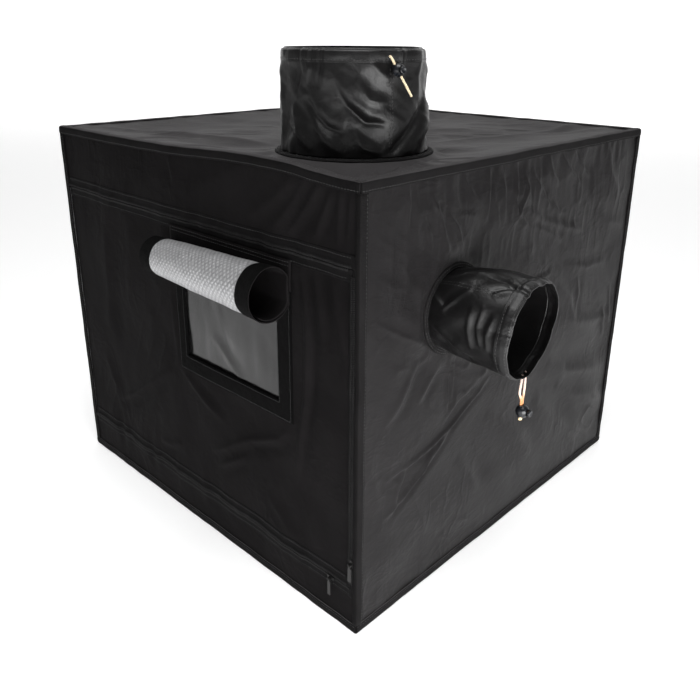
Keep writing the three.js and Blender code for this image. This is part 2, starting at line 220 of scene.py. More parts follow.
RIGHT_FOLDS = [
    # Short folds hanging from the roof's edge.
    (((-232, 512), (-232, 494), (-236, 466)), 2.2, 2.6),
    (((-216, 484), (-202, 462), (-196, 440)), 1.8, 2.6),
    (((-198, 500), (-180, 466), (-166, 430)), 2.4, 3),
    (((-170, 474), (-152, 456), (-136, 424)), 2.4, 3),
    (((-142, 514), (-122, 486), (-104, 472)), 1.6, 3.5),
    (((-152, 470), (-128, 466), (-112, 460)), 1.4, 2.4),
    (((-92, 516), (-92, 488), (-94, 452)), 2.4, 3),
    (((-64, 504), (-62, 474), (-56, 444)), 2.0, 3),
    (((-78, 470), (-72, 452), (-66, 440)), 1.8, 2.4),
    (((-30, 518), (-34, 492), (-38, 468), (-27, 446), (-14, 466), (-4, 486)), 2.6, 3),
    (((-16, 500), (-6, 474), (2, 456)), 1.8, 2.6),
    (((2, 500), (20, 474), (40, 456)), 2.2, 3.5),
    (((24, 480), (40, 456), (56, 442)), 1.8, 2.6),
    (((38, 516), (50, 488), (70, 470)), 2.2, 3.5),
    (((64, 520), (90, 492), (134, 462)), 2.6, 4),
    (((96, 516), (118, 496), (160, 470)), 2.0, 4),
    (((-24, 452), (-8, 436), (6, 424)), 1.6, 2.4),
    (((-10, 452), (40, 430), (110, 408), (150, 400)), 2.4, 5),
    (((10, 428), (60, 410), (96, 392)), 1.8, 4),
    (((60, 452), (76, 436), (98, 428)), 1.6, 2.6),
    (((120, 420), (128, 404), (146, 396)), 1.2, 3),
    # Pulled lines left of and below the flange.
    (((-210, 400), (-206, 374), (-208, 346)), 1.8, 2.6),
    (((-206, 316), (-236, 276), (-262, 252)), 2.6, 6),
    (((-166, 300), (-186, 282), (-206, 262)), 2.6, 5),
    (((-149, 306), (-148, 268), (-150, 228)), 2.4, 2.4),
    (((-140, 302), (-139, 266), (-142, 236)), 1.8, 2.2),
    (((-120, 296), (-112, 288), (-96, 284)), 1.6, 2.6),
    (((-62, 248), (-92, 228), (-134, 208), (-176, 196), (-256, 184)), 4.0, 3.2),
    (((-134, 204), (-170, 182), (-206, 160), (-258, 134)), 3.8, 3.4),
    (((-160, 196), (-186, 176), (-204, 156)), 2.0, 2.8),
    (((-220, 190), (-238, 160), (-246, 130)), 1.8, 3.4),
    (((-286, 230), (-276, 190), (-262, 150)), 2.0, 6),
    (((-90, 250), (-130, 236), (-160, 216)), 1.6, 3.4),
    # The wide soft waves that run down to the far corner.
    (((100, 286), (150, 262), (210, 246), (280, 238)), 3.0, 10),
    (((84, 216), (140, 186), (200, 170), (270, 150)), 3.4, 11),
    (((120, 170), (170, 138), (240, 112), (286, 84)), 3.0, 11),
    (((60, 170), (110, 120), (160, 84), (220, 50)), 2.6, 13),
    (((-60, 190), (-20, 160), (30, 120), (60, 80)), 2.4, 12),
    (((10, 356), (40, 352), (70, 354)), 1.8, 3),
    (((110, 356), (170, 340), (240, 334)), 2.0, 6),
    (((90, 330), (130, 300), (150, 262)), 2.0, 7),
    (((150, 330), (156, 300), (150, 270)), 1.6, 4),
    (((246, 260), (252, 230), (264, 204)), 2.4, 5),
    (((262, 290), (270, 250), (276, 224)), 1.8, 4),
    (((-120, 150), (-90, 120), (-70, 84)), 1.8, 10),
    (((-230, 120), (-190, 96), (-150, 60)), 1.6, 10),
    (((200, 520), (214, 470), (250, 430)), 1.8, 8),
    (((190, 420), (230, 396), (280, 384)), 1.8, 7),
]

SIDE_Y = -147.0
SIDE_Z = 360.0
SIDE_HOLE = 46.0
SIDE_RING = 54.0


def side_pull(y, z):
    """The sleeve's flange hangs from the wall and dents it a little, with a hump above."""
    r = np.hypot(y - SIDE_Y, z - SIDE_Z)
    a = np.arctan2(z - SIDE_Z, y - SIDE_Y)
    away = r - SIDE_RING
    rays = 2.0 * np.cos(7 * a + 0.8) * np.exp(-np.maximum(away - 4, 0) / 26) * step(away, 2, 18)
    return rays + 3.0 * np.sin(a) * np.exp(-(((away - 34) / 34) ** 2)) * step(away, 2, 22)


def right_out(y, z):
    """How far the right wall stands out of its plane at y, z."""
    inner = inner_share(y, z)
    belly = bulge(y, z, 260) * inner
    u, v = turned(y, z, -32)
    broad = 3.0 * smooth_noise(u / 150, v / 62, 21) * inner
    small = 1.1 * smooth_noise(u / 60, v / 30, 22) * inner
    crinkle = 1.9 * ridges(u / 44, v / 15, 23) * step(smooth_noise(y / 110, z / 90, 24), -0.1, 0.5) * inner
    crinkle = crinkle + 1.2 * ridges(y / 13, z / 46, 29) * step(z, 330, 470) * inner
    top = puckers(y, HIGH - z, 9, 1.5, 42, 25) + puckers(y, HIGH - z, 23, 1.6, 60, 30)
    top = top + puckers(y, z, 20, 1.2, 24, 26)
    side = puckers(z, HALF + y, 26, 1.4, 22, 27) + puckers(z, HALF - y, 26, 1.4, 22, 28)
    calm = step(np.hypot(y - SIDE_Y, z - SIDE_Z), SIDE_RING - 4, SIDE_RING + 12)
    folds = creases(y, z, RIGHT_FOLDS)
    return (belly + (broad + small + crinkle + folds + top + side) * calm + side_pull(y, z)) * edge_ease(y, z)


ROOF_FOLDS = [
    (((292, -292), (200, -262), (120, -258)), 3.0, 8),
    (((286, -270), (264, -190), (262, -120)), 3.0, 8),
    (((292, -280), (250, -246), (222, -220)), 3.6, 7),
    (((40, -160), (-60, -170), (-200, -210), (-280, -260)), 3.0, 12),
    (((60, -80), (-40, -20), (-160, 60), (-270, 180)), 3.2, 13),
    (((150, -50), (160, 60), (200, 180), (260, 280)), 3.2, 13),
    (((90, -60), (40, 60), (0, 180), (-20, 290)), 2.6, 14),
    (((-120, -290), (-110, -240), (-90, -200)), 2.6, 8),
    (((-20, -292), (0, -262), (20, -240)), 2.4, 7),
    (((200, 290), (190, 230), (160, 170)), 2.2, 10),
    # Short gathers between the sleeve's ring and the near corner.
    (((246, -150), (270, -146), (294, -138)), 2.2, 3),
    (((245, -172), (266, -178), (292, -180)), 2.4, 3),
    (((240, -190), (260, -204), (286, -216)), 2.6, 3),
    (((232, -206), (250, -226), (272, -246)), 2.4, 3),
    (((218, -222), (232, -246), (246, -270)), 2.0, 3),
    (((248, -120), (272, -108), (292, -92)), 1.8, 3),
]
TOP_X = 148.0
TOP_Y = -150.0
TOP_HOLE = 86.0


def roof_out(x, y):
    """How far the roof stands up; it sags between the rails and round the sleeve."""
    inner = step(HALF - np.abs(x), 6, 90) * step(HALF - np.abs(y), 6, 90)
    r = np.hypot(x - TOP_X, y - TOP_Y)
    calm = step(r, 90, 112)
    sag = -6.0 * inner * calm - 5.0 * np.exp(-(((x - 236) / 60) ** 2) - (((y + 236) / 60) ** 2)) * calm
    u, v = turned(x, y, 40)
    broad = 2.6 * smooth_noise(u / 140, v / 70, 31) * inner
    small = 1.1 * smooth_noise(u / 50, v / 36, 32) * inner
    crinkle = 1.2 * ridges(u / 50, v / 24, 33) * step(smooth_noise(x / 110, y / 110, 34), 0.0, 0.5) * inner
    edge = sum(
        puckers(along, away, 18, 1.8, 26, 35 + k)
        for k, (along, away) in enumerate(((x, HALF + y), (y, HALF - x), (x, HALF - y), (y, HALF + x)))
    )
    angle = np.arctan2(y - TOP_Y, x - TOP_X)
    gathers = 1.3 * np.cos(17 * angle + np.cos(3 * angle)) * np.exp(-np.maximum(r - 100, 0) / 18) * calm
    ease = 0.15 + 0.85 * step(HALF - np.abs(x), 1, 16) * step(HALF - np.abs(y), 1, 16)
    return (sag + gathers + (broad + small + crinkle + edge + creases(x, y, ROOF_FOLDS)) * calm) * ease


def plain_out(seed, folds):
    """The shape of a wall with no opening."""
    def out(u, v):
        inner = inner_share(u, v)
        a, b = turned(u, v, 52)
        belly = bulge(u, v, 260) * inner
        broad = 3.0 * smooth_noise(a / 150, b / 66, seed) * inner
        small = 1.2 * smooth_noise(a / 60, b / 30, seed + 1) * inner
        patch = step(smooth_noise(u / 110, v / 100, seed + 3), 0, 0.5)
        crinkle = 1.4 * ridges(a / 46, b / 22, seed + 2) * patch
        edges = puckers(u, HIGH - v, 16, 2.0, 32, seed + 4) + puckers(u, v, 20, 1.2, 24, seed + 5)
        return (belly + broad + small + crinkle * inner + edges + creases(u, v, folds)) * edge_ease(u, v)

    return out


BACK_FOLDS = [
    (((-250, 500), (-160, 420), (-60, 330)), 3.6, 8),
    (((240, 510), (180, 430), (60, 360), (-40, 300)), 3.6, 9),
    (((-270, 120), (-180, 160), (-60, 180)), 3.2, 9),
    (((270, 80), (180, 140), (80, 170)), 3.2, 9),
    (((-20, 510), (-30, 440), (-24, 380)), 2.6, 6),
    (((90, 512), (96, 470), (90, 430)), 2.6, 6),
]
LEFT_FOLDS = [
    (((-260, 490), (-200, 400), (-150, 300)), 3.6, 9),
    (((250, 500), (150, 440), (20, 400)), 3.6, 8),
    (((260, 60), (160, 120), (40, 150)), 3.2, 9),
    (((-240, 60), (-140, 130), (-60, 220)), 3.2, 10),
    (((0, 512), (-8, 460), (4, 410)), 2.6, 6),
    (((-120, 512), (-118, 470), (-130, 430)), 2.6, 6),
]


# ---- Meshes ----

def eaves(points):
    """The cover's front top edge is not straight: it rides up near its middle and drops at the corner."""
    x, y, z = points.T
    lift = 7.0 * np.exp(-(((x - 150) / 130) ** 2)) * step(HALF - x, 0, 110)
    return points + np.stack([0 * x, 0 * x, lift * step(-y, 242, 298) * step(z, 462, 516)], 1)


def new_object(name, points, faces, uvs=None, slots=None, smooth=True):
    """A mesh object from points in mm. uvs has one pair for each face corner, in mm."""
    mesh = bpy.data.meshes.new(name)
    mesh.from_pydata((eaves(np.asarray(points, float)) * MM).tolist(), [], [list(f) for f in faces])
    if uvs is not None:
        layer = mesh.uv_layers.new(name="UVMap")
        layer.data.foreach_set("uv", (np.asarray(uvs, float) * MM).astype(np.float32).ravel())
    if slots is not None:
        mesh.polygons.foreach_set("material_index", np.asarray(slots, np.int32))
    mesh.polygons.foreach_set("use_smooth", np.full(len(mesh.polygons), smooth))
    mesh.update()
    obj = bpy.data.objects.new(name, mesh)
    bpy.context.scene.collection.objects.link(obj)
    return obj


def sheet_mesh(outer, out, thick, uv, keep=None, wrap=False, outer_slot=None, rim_slot=0):
    """A closed sheet from a grid of points: its face, its back thick behind it, and the rim between.

    outer and out are n by m by 3; uv is n by (m, or m + 1 where it wraps) by 2. Returns points,
    faces, uvs and material slots."""
    n, m = outer.shape[:2]
    columns = m if wrap else m - 1
    points = np.concatenate([outer.reshape(-1, 3), (outer - out * thick).reshape(-1, 3)])
    i, j = np.meshgrid(np.arange(n - 1), np.arange(columns), indexing="ij")
    i, j = i.ravel(), j.ravel()
    if keep is not None:
        i, j = i[keep.ravel()], j[keep.ravel()]
    k = (j + 1) % m
    face = np.stack([i * m + j, (i + 1) * m + j, (i + 1) * m + k, i * m + k], 1)
    face_uv = np.stack([uv[i, j], uv[i + 1, j], uv[i + 1, j + 1], uv[i, j + 1]], 1)
    a, b, c = points[face[0, 0]], points[face[0, 1]], points[face[0, 2]]
    if np.dot(np.cross(b - a, c - b), out.reshape(-1, 3)[face[0, 0]]) < 0:
        face, face_uv = face[:, ::-1], face_uv[:, ::-1]
    back = face[:, ::-1] + n * m
    back_uv = face_uv[:, ::-1]
    edges = np.stack([face, np.roll(face, -1, 1)], 2).reshape(-1, 2)
    edge_uv = np.stack([face_uv, np.roll(face_uv, -1, 1)], 2).reshape(-1, 2, 2)
    key = edges.min(1) * (n * m) + edges.max(1)
    _, index, count = np.unique(key, return_index=True, return_counts=True)
    rim_at = index[count == 1]
    rim = edges[rim_at]
    rim_faces = np.stack([rim[:, 1], rim[:, 0], rim[:, 0] + n * m, rim[:, 1] + n * m], 1)
    rim_uv = edge_uv[rim_at]
    rim_uv = np.stack([rim_uv[:, 1], rim_uv[:, 0], rim_uv[:, 0], rim_uv[:, 1]], 1)
    faces = np.concatenate([face, back, rim_faces])
    uvs = np.concatenate([face_uv, back_uv, rim_uv]).reshape(-1, 2)
    front_slots = np.zeros(len(face), int) if outer_slot is None else outer_slot[i, j]
    slots = np.concatenate([front_slots, np.ones(len(face), int), np.full(len(rim_faces), rim_slot)])
    used, flat = np.unique(faces, return_inverse=True)
    return points[used], flat.reshape(faces.shape), uvs, slots


def joined_mesh(parts):
    """Several (points, faces, uvs, slots) as one."""
    points, faces, uvs, slots = [], [], [], []
    base = 0
    for p, f, t, s in parts:
        points.append(p)
        faces += [[int(i) + base for i in face] for face in f]
        uvs.append(np.asarray(t).reshape(-1, 2))
        slots.append(s)
        base += len(p)
    return np.concatenate(points), faces, np.concatenate(uvs), np.concatenate(slots)


def lines(low, high, pitch, *extra):
    """Grid lines from low to high, about pitch apart, with one on each extra value."""
    stops = sorted({low, high, *[e for e in extra if low < e < high]})
    made = []
    for a, b in zip(stops, stops[1:]):
        count = max(1, round((b - a) / pitch))
        made += np.linspace(a, b, count, endpoint=False).tolist()
    return np.array(made + [high])


def finished(obj, body, nodes=(), materials=()):
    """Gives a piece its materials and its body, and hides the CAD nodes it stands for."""
    for material in materials:
        obj.data.materials.append(material)
    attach(obj, body)
    if nodes:
        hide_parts(*nodes)
    return obj


# Each face of the cover: a function from its two coordinates and the height above its plane to a point.
def front_at(x, z, h):
    return np.stack([x, -(HALF + h), z], -1)


def right_at(y, z, h):
    return np.stack([HALF + h, y, z], -1)


def left_at(y, z, h):
    return np.stack([-(HALF + h), y, z], -1)


def back_at(x, z, h):
    return np.stack([x, HALF + h, z], -1)


def roof_at(x, y, h):
    return np.stack([x, y, HIGH + h], -1)


def floor_at(x, y, h):
    return np.stack([x, y, -h], -1)


OUT = {front_at: (0, -1, 0), right_at: (1, 0, 0), left_at: (-1, 0, 0), back_at: (0, 1, 0),
       roof_at: (0, 0, 1), floor_at: (0, 0, -1)}


def face_part(at, out, us, vs, thick=CLOTH, hole=None):
    """A rectangle of cloth on one face of the cover, with a round or square hole in it."""
    u, v = np.meshgrid(us, vs, indexing="ij")
    keep = None
    if hole and len(hole) == 3:
        u, v, keep = round_hole(u, v, *hole)
    if hole and len(hole) == 4:
        mid_u, mid_v = (us[1:] + us[:-1]) / 2, (vs[1:] + vs[:-1]) / 2
        cu, cv = np.meshgrid(mid_u, mid_v, indexing="ij")
        keep = ~((cu > hole[0]) & (cu < hole[1]) & (cv > hole[2]) & (cv < hole[3]))
    normal = np.broadcast_to(np.array(OUT[at], float), u.shape + (3,))
    return sheet_mesh(at(u, v, out(u, v)), normal, thick, np.stack([u, v], -1), keep)


def round_hole(u, v, cu, cv, radius):
    """Moves the grid points nearest a circle onto it and drops the cells inside."""
    du, dv = u - cu, v - cv
    r = np.hypot(du, dv)
    middle_u = (u[1:, 1:] + u[:-1, :-1]) / 2
    middle_v = (v[1:, 1:] + v[:-1, :-1]) / 2
    keep = np.hypot(middle_u - cu, middle_v - cv) > radius
    cell = max(abs(u[1, 0] - u[0, 0]), abs(v[0, 1] - v[0, 0]))
    kept = np.zeros(u.shape, bool)
    dropped = np.zeros(u.shape, bool)
    for a in (slice(0, -1), slice(1, None)):
        for b in (slice(0, -1), slice(1, None)):
            kept[a, b] |= keep
            dropped[a, b] |= ~keep
    rim = kept & dropped
    scale = np.where(rim & (r > cell), radius / np.maximum(r, 1e-6), 1.0)
    return cu + du * scale, cv + dv * scale, keep


# ---- Materials ----

class Nodes:
    """A material's node tree, with short calls to add and join nodes."""

    def __init__(self, name):
        self.material = bpy.data.materials.new(name)
        self.material.use_nodes = True
        self.tree = self.material.node_tree
        self.shader = self.tree.nodes["Principled BSDF"]
        self.texture = None

    def add(self, kind, values=None, **settings):
        node = self.tree.nodes.new(kind)
        for key, value in settings.items():
            setattr(node, key, value)
        for key, value in (values or {}).items():
            node.inputs[key].default_value = value
        return node

    def join(self, out, into):
        self.tree.links.new(out, into)

    def coordinates(self, kind):
        if self.texture is None:
            self.texture = self.add("ShaderNodeTexCoord")
        return self.texture.outputs[kind]

    def scaled(self, kind, scale, turn=0.0):
        mapping = self.add("ShaderNodeMapping", {"Scale": scale, "Rotation": (0, 0, turn)})
        self.join(self.coordinates(kind), mapping.inputs["Vector"])
        return mapping.outputs["Vector"]

    def noise(self, kind, scale, detail=3.0, rough=0.55, stretch=(1, 1, 1), distortion=0.0):
        node = self.add(
            "ShaderNodeTexNoise",
            {"Scale": scale, "Detail": detail, "Roughness": rough, "Distortion": distortion},
        )
        self.join(self.scaled(kind, stretch), node.inputs["Vector"])
        return node.outputs["Fac"]

    def wave(self, kind, pitch, direction, turn=0.0):
        """Even bands, pitch metres apart."""
        scale = 2 * math.pi / 20 / pitch
        node = self.add(
            "ShaderNodeTexWave",
            {"Scale": scale, "Distortion": 0.0, "Detail": 0.0},
            bands_direction=direction,
        )
        self.join(self.scaled(kind, (1, 1, 1), turn), node.inputs["Vector"])
        return node.outputs["Fac"]

    def feed(self, socket, value):
        """Joins an output to a socket, or sets the socket's own value."""
        if hasattr(value, "is_linked"):
            self.join(value, socket)
        elif socket.type == "RGBA":
            socket.default_value = (*value, 1)
        else:
            socket.default_value = value

    def math(self, operation, a, b=0.0):
        node = self.add("ShaderNodeMath", operation=operation)
        for socket, value in zip(node.inputs, (a, b)):
            self.feed(socket, value)
        return node.outputs[0]

    def plus(self, base, value, amount):
        """base with amount times value on top."""
        return self.math("ADD", base, self.math("MULTIPLY", value, amount))

    def mixed(self, a, share_a, b, share_b):
        """Two values, each by its share, added up."""
        return self.plus(self.math("MULTIPLY", a, share_a), b, share_b)

    def ramp(self, factor, stops):
        node = self.add("ShaderNodeValToRGB")
        elements = node.color_ramp.elements
        while len(elements) < len(stops):
            elements.new(0.5)
        for element, (place, colour) in zip(elements, stops):
            element.position = place
            element.color = (*colour, 1)
        self.join(factor, node.inputs["Fac"])
        return node.outputs["Color"]

    def bump(self, height, strength, distance, below=None):
        node = self.add("ShaderNodeBump", {"Strength": strength, "Distance": distance})
        self.join(height, node.inputs["Height"])
        if below is not None:
            self.join(below, node.inputs["Normal"])
        return node.outputs["Normal"]

    def set(self, **values):
        for key, value in values.items():
            self.feed(self.shader.inputs[key.replace("_", " ")], value)
        return self.material


def weave(n, kind, pitch):
    """Over-and-under threads: high where the warp is on top, and again where the weft is."""
    warp = n.wave(kind, pitch, "X")
    weft = n.wave(kind, pitch, "Y")
    both = n.math("MULTIPLY", warp, weft)
    neither = n.math("MULTIPLY", n.math("SUBTRACT", 1.0, warp), n.math("SUBTRACT", 1.0, weft))
    return n.math("ADD", both, neither)


def sharp_creases(n, scale, stretch):
    """Thin raised lines, as cloth keeps after it has been folded small."""
    swell = n.math("SUBTRACT", n.noise("UV", scale, 3, 0.5, stretch, 0.4), 0.5)
    away = n.math("ABSOLUTE", n.math("MULTIPLY", swell, 7.0))
    line = n.math("MAXIMUM", n.math("SUBTRACT", 1.0, away), 0.0)
    patch = n.ramp(n.noise("UV", 8, 2, 0.5), [(0.42, (0, 0, 0)), (0.62, (1, 1, 1))])
    return n.math("MULTIPLY", n.math("MULTIPLY", line, line), patch)


def oxford_cloth(name, dark, light, rough, gloss, sheen):
    """Coated woven polyester: threads, small crumples, faded patches and a low satin shine."""
    n = Nodes(name)
    patches = n.noise("UV", 9, 5, 0.6)
    fuzz = n.noise("UV", 900, 2, 0.6)
    colour = n.ramp(n.mixed(patches, 0.75, fuzz, 0.25), [(0.3, dark), (0.72, light)])
    threads = weave(n, "UV", 0.0011)
    crumple = n.noise("UV", 42, 6, 0.62, (1, 1.5, 1), 0.6)
    fine = n.noise("UV", 160, 4, 0.6)
    base = n.bump(crumple, 0.3, 0.003)
    base = n.bump(sharp_creases(n, 22, (1, 0.45, 1)), 0.5, 0.0012, base)
    base = n.bump(sharp_creases(n, 40, (0.6, 1.3, 1)), 0.4, 0.0007, base)
    base = n.bump(fine, 0.18, 0.0008, base)
    normal = n.bump(threads, 0.35, 0.00022, base)
    return n.set(
        Base_Color=colour, Roughness=n.plus(rough - 0.08, patches, 0.16), Normal=normal, Sheen_Weight=sheen,
        Sheen_Roughness=0.4, Specular_IOR_Level=gloss,
    )


def satin_cloth(name, dark, light):
    """The sleeves' thinner, shinier nylon, with fine crinkles."""
    n = Nodes(name)
    patches = n.noise("UV", 14, 4, 0.6)
    colour = n.ramp(patches, [(0.3, dark), (0.7, light)])
    crumple = n.noise("UV", 60, 6, 0.6, (1, 0.6, 1), 1.2)
    fine = n.noise("UV", 260, 3, 0.6)
    base = n.bump(crumple, 0.35, 0.0022)
    base = n.bump(fine, 0.15, 0.0006, base)
    normal = n.bump(weave(n, "UV", 0.0008), 0.25, 0.00015, base)
    return n.set(
        Base_Color=colour, Roughness=n.plus(0.29, fine, 0.16), Normal=normal, Sheen_Weight=0.03,
        Sheen_Roughness=0.35, Specular_IOR_Level=0.38,
    )


def foil_lining(name, pitch=0.0052):
    """Aluminised film pressed in small diamonds over cloth."""
    n = Nodes(name)
    one = n.wave("UV", pitch, "X", math.radians(45))
    two = n.wave("UV", pitch, "Y", math.radians(45))
    diamonds = n.math("MINIMUM", one, two)
    crumple = n.noise("UV", 120, 5, 0.62, distortion=0.8)
    grain = n.noise("UV", 700, 3, 0.7)
    base = n.bump(crumple, 0.4, 0.0014)
    base = n.bump(grain, 0.7, 0.0006, base)
    normal = n.bump(diamonds, 0.8, 0.0007, base)
    # The colour follows the crumple and diamond heights and is darker where they lie low: painted shade in
    # the hollows.
    tone = n.mixed(crumple, 0.6, diamonds, 0.4)
    colour = n.ramp(tone, [(0.2, (0.31, 0.31, 0.32)), (0.8, (0.66, 0.66, 0.67))])
    return n.set(Base_Color=colour, Metallic=0.45, Roughness=n.plus(0.24, grain, 0.22), Normal=normal)


def ribbed_tape(name, dark, light, pitch=0.0016):
    """Woven edge tape: close ribs across it and a rougher face."""
    n = Nodes(name)
    ribs = n.wave("UV", pitch, "X")
    cross = n.wave("UV", pitch * 0.6, "Y")
    fuzz = n.noise("UV", 600, 3, 0.6)
    wear = n.noise("UV", 22, 4, 0.6)
    colour = n.ramp(n.mixed(wear, 0.7, fuzz, 0.3), [(0.3, dark), (0.75, light)])
    base = n.bump(fuzz, 0.3, 0.0003)
    normal = n.bump(n.plus(ribs, cross, 0.5), 0.6, 0.0003, base)
    return n.set(Base_Color=colour, Roughness=0.62, Normal=normal, Sheen_Weight=0.01,
                 Sheen_Roughness=0.5, Specular_IOR_Level=0.02)


def hook_pile(name):
    """Hook-and-loop tape: a dense matt pile of tiny loops."""
    n = Nodes(name)
    loops = n.add("ShaderNodeTexVoronoi", {"Scale": 1300.0, "Randomness": 0.8})
    n.join(n.coordinates("UV"), loops.inputs["Vector"])
    clumps = n.noise("UV", 130, 4, 0.65)
    height = n.plus(loops.outputs["Distance"], clumps, 0.7)
    colour = n.ramp(clumps, [(0.3, (0.0009, 0.0009, 0.0009)), (0.75, (0.0028, 0.0027, 0.0028))])
    normal = n.bump(height, 0.9, 0.0007)
    return n.set(Base_Color=colour, Roughness=0.92, Normal=normal, Sheen_Weight=0.01,
                 Sheen_Roughness=0.6, Specular_IOR_Level=0.04)


def window_film(name):
    """Tinted soft film: smooth, a little rippled, with faint scuffs and broad patches of painted light and
    shade in its tint.
    """
    n = Nodes(name)
    ripple = n.noise("UV", 16, 3, 0.5, distortion=0.6)
    scuff = n.noise("UV", 140, 5, 0.7, (1, 6, 1))
    painted_light_and_shade = n.noise("UV", 7, 4, 0.6)
    # Broad lighter and darker patches in the tint stand in for light on the film: painted light and shade.
    colour = n.ramp(painted_light_and_shade, [(0.3, (0.004, 0.0039, 0.004)), (0.7, (0.015, 0.0145, 0.0148))])
    normal = n.bump(ripple, 0.5, 0.004)
    return n.set(Base_Color=colour, Roughness=n.plus(0.12, scuff, 0.2), Normal=normal, Alpha=0.9,
                 Coat_Weight=0.12, Coat_Roughness=0.08)


def moulded_plastic(name, dark, light, rough, shine=0.5):
    """Injection-moulded plastic: fine texture, faint flow marks."""
    n = Nodes(name)
    grain = n.noise("Object", 1500, 3, 0.6)
    flow = n.noise("Object", 60, 3, 0.5)
    colour = n.ramp(flow, [(0.3, dark), (0.7, light)])
    normal = n.bump(grain, 0.25, 0.00012)
    return n.set(Base_Color=colour, Roughness=n.plus(rough, grain, 0.12), Normal=normal,
                 Specular_IOR_Level=shine)


def satin_metal(name, tone, rough):
    """Plated or enamelled metal: fine brushing and dull handled patches."""
    n = Nodes(name)
    brushed = n.noise("Object", 900, 3, 0.6, (1, 1, 0.08))
    patches = n.noise("Object", 40, 4, 0.6)
    colour = n.ramp(patches, [(0.3, tuple(c * 0.75 for c in tone)), (0.7, tone)])
    normal = n.bump(brushed, 0.2, 0.0001)
    return n.set(Base_Color=colour, Metallic=0.9, Normal=normal, Roughness=n.plus(rough, patches, 0.2))


def braided(n, colour, strands, fuzz):
    """A braid's surface: raised strands under a short fuzz."""
    normal = n.bump(fuzz, 0.3, 0.0002, n.bump(strands, 0.7, 0.0003))
    return n.set(Base_Color=colour, Roughness=0.8, Normal=normal, Sheen_Weight=0.3)


def braided_cord(name, dark, light):
    """Round braid: two sets of strands that cross."""
    n = Nodes(name)
    one = n.wave("Object", 0.0011, "DIAGONAL")
    two = n.wave("Object", 0.0013, "Z")
    strands = n.plus(one, two, 0.6)
    fuzz = n.noise("Object", 2500, 2, 0.6)
    colour = n.ramp(n.mixed(strands, 0.4, fuzz, 0.4), [(0.2, dark), (0.8, light)])
    return braided(n, colour, strands, fuzz)


def handled_cord(name, low, high):
    """The side drawcord: clean above, stained orange in a band by its lock, cream at the tip."""
    n = Nodes(name)
    height = n.add("ShaderNodeSeparateXYZ")
    n.join(n.coordinates("Object"), height.inputs["Vector"])
    share = n.math("DIVIDE", n.math("SUBTRACT", height.outputs["Z"], low), high - low)
    fuzz = n.noise("Object", 1800, 3, 0.6)
    share = n.plus(share, n.math("SUBTRACT", fuzz, 0.5), 0.12)
    tint = n.ramp(share, [(0.05, (0.86, 0.68, 0.38)), (0.3, (0.62, 0.24, 0.07)), (0.5, (0.70, 0.30, 0.12)),
                          (0.72, (0.80, 0.60, 0.48)), (1.0, (0.62, 0.46, 0.40))])
    return braided(n, tint, n.wave("Object", 0.0011, "DIAGONAL"), fuzz)


def thread(name, colour):
    """Polyester sewing thread: a tight twist."""
    n = Nodes(name)
    twist = n.wave("Object", 0.0006, "DIAGONAL")
    tint = n.ramp(twist, [(0.2, tuple(c * 0.7 for c in colour)), (0.8, colour)])
    return n.set(Base_Color=tint, Roughness=0.55, Normal=n.bump(twist, 0.5, 0.0001), Sheen_Weight=0.2)


# One black cloth in three copies whose base colours differ only for light: the roof copy is painted lighter,
# as painted light on the top, the front copy darker, as painted shade, and the wall copy between them.
CLOTH_FRONT_PAINTED_SHADE = oxford_cloth(
    "cloth_front_painted_shade", (0.0058, 0.0053, 0.0055), (0.0116, 0.0107, 0.0111), rough=0.44, gloss=0.006, sheen=0.005)
CLOTH_WALL = oxford_cloth(
    "cloth_wall", (0.0084, 0.0078, 0.0081), (0.0156, 0.0146, 0.0151), rough=0.36, gloss=0.07, sheen=0.02)
CLOTH_ROOF_PAINTED_LIGHT = oxford_cloth(
    "cloth_roof_painted_light", (0.0360, 0.0341, 0.0350), (0.0610, 0.0580, 0.0595), rough=0.44, gloss=0.01, sheen=0.0)
CLOTH_SLEEVE = satin_cloth("cloth_sleeve", (0.0022, 0.0020, 0.0021), (0.0052, 0.0049, 0.0051))
LINING = foil_lining("foil_lining")
FOIL = foil_lining("foil_flap", 0.0048)
# The binding tape in three copies whose colours differ only for light: the roof copy is painted light, the
# front copy painted shade, and the plain copy goes on the other faces.
TAPE_DARK = ribbed_tape("binding_tape", (0.0065, 0.0061, 0.0063), (0.0130, 0.0123, 0.0126))
TAPE_FRONT_PAINTED_SHADE = ribbed_tape("binding_tape_front_painted_shade", (0.0040, 0.0037, 0.0038), (0.0085, 0.0080, 0.0082))
TAPE_ROOF_PAINTED_LIGHT = ribbed_tape("binding_tape_roof_painted_light", (0.0370, 0.0350, 0.0359), (0.0620, 0.0590, 0.0604))
# The zip tape is as dark as the front cloth's copy, with its painted shade; the coil's base is lighter than
# the tape to show the thin light line along the coil, a painted highlight.
ZIP_TAPE = ribbed_tape("zip_tape", (0.0042, 0.0039, 0.0041), (0.0088, 0.0083, 0.0086), 0.0012)
ZIP_COIL = moulded_plastic("zip_coil", (0.0062, 0.0059, 0.0061), (0.0125, 0.0120, 0.0123), 0.5, 0.12)
HOOK = hook_pile("hook_pile")
FILM = window_film("window_film")
THREAD = thread("sewing_thread", (0.0062, 0.0059, 0.0061))
CORD = braided_cord("cord_braid", (0.62, 0.47, 0.28), (0.90, 0.79, 0.55))
CORD_SIDE = handled_cord("cord_side", 0.254, 0.304)
LOCK = moulded_plastic("lock_plastic", (0.0035, 0.0040, 0.0055), (0.0075, 0.0085, 0.0110), 0.24)
JOINT = moulded_plastic("joint_plastic", (0.010, 0.010, 0.011), (0.022, 0.022, 0.023), 0.42)
TUBE = satin_metal("tube_enamel", (0.62, 0.63, 0.65), 0.26)
ZIP_METAL = satin_metal("zip_black_nickel", (0.045, 0.044, 0.0435), 0.3)


# ---- The cover's panels ----

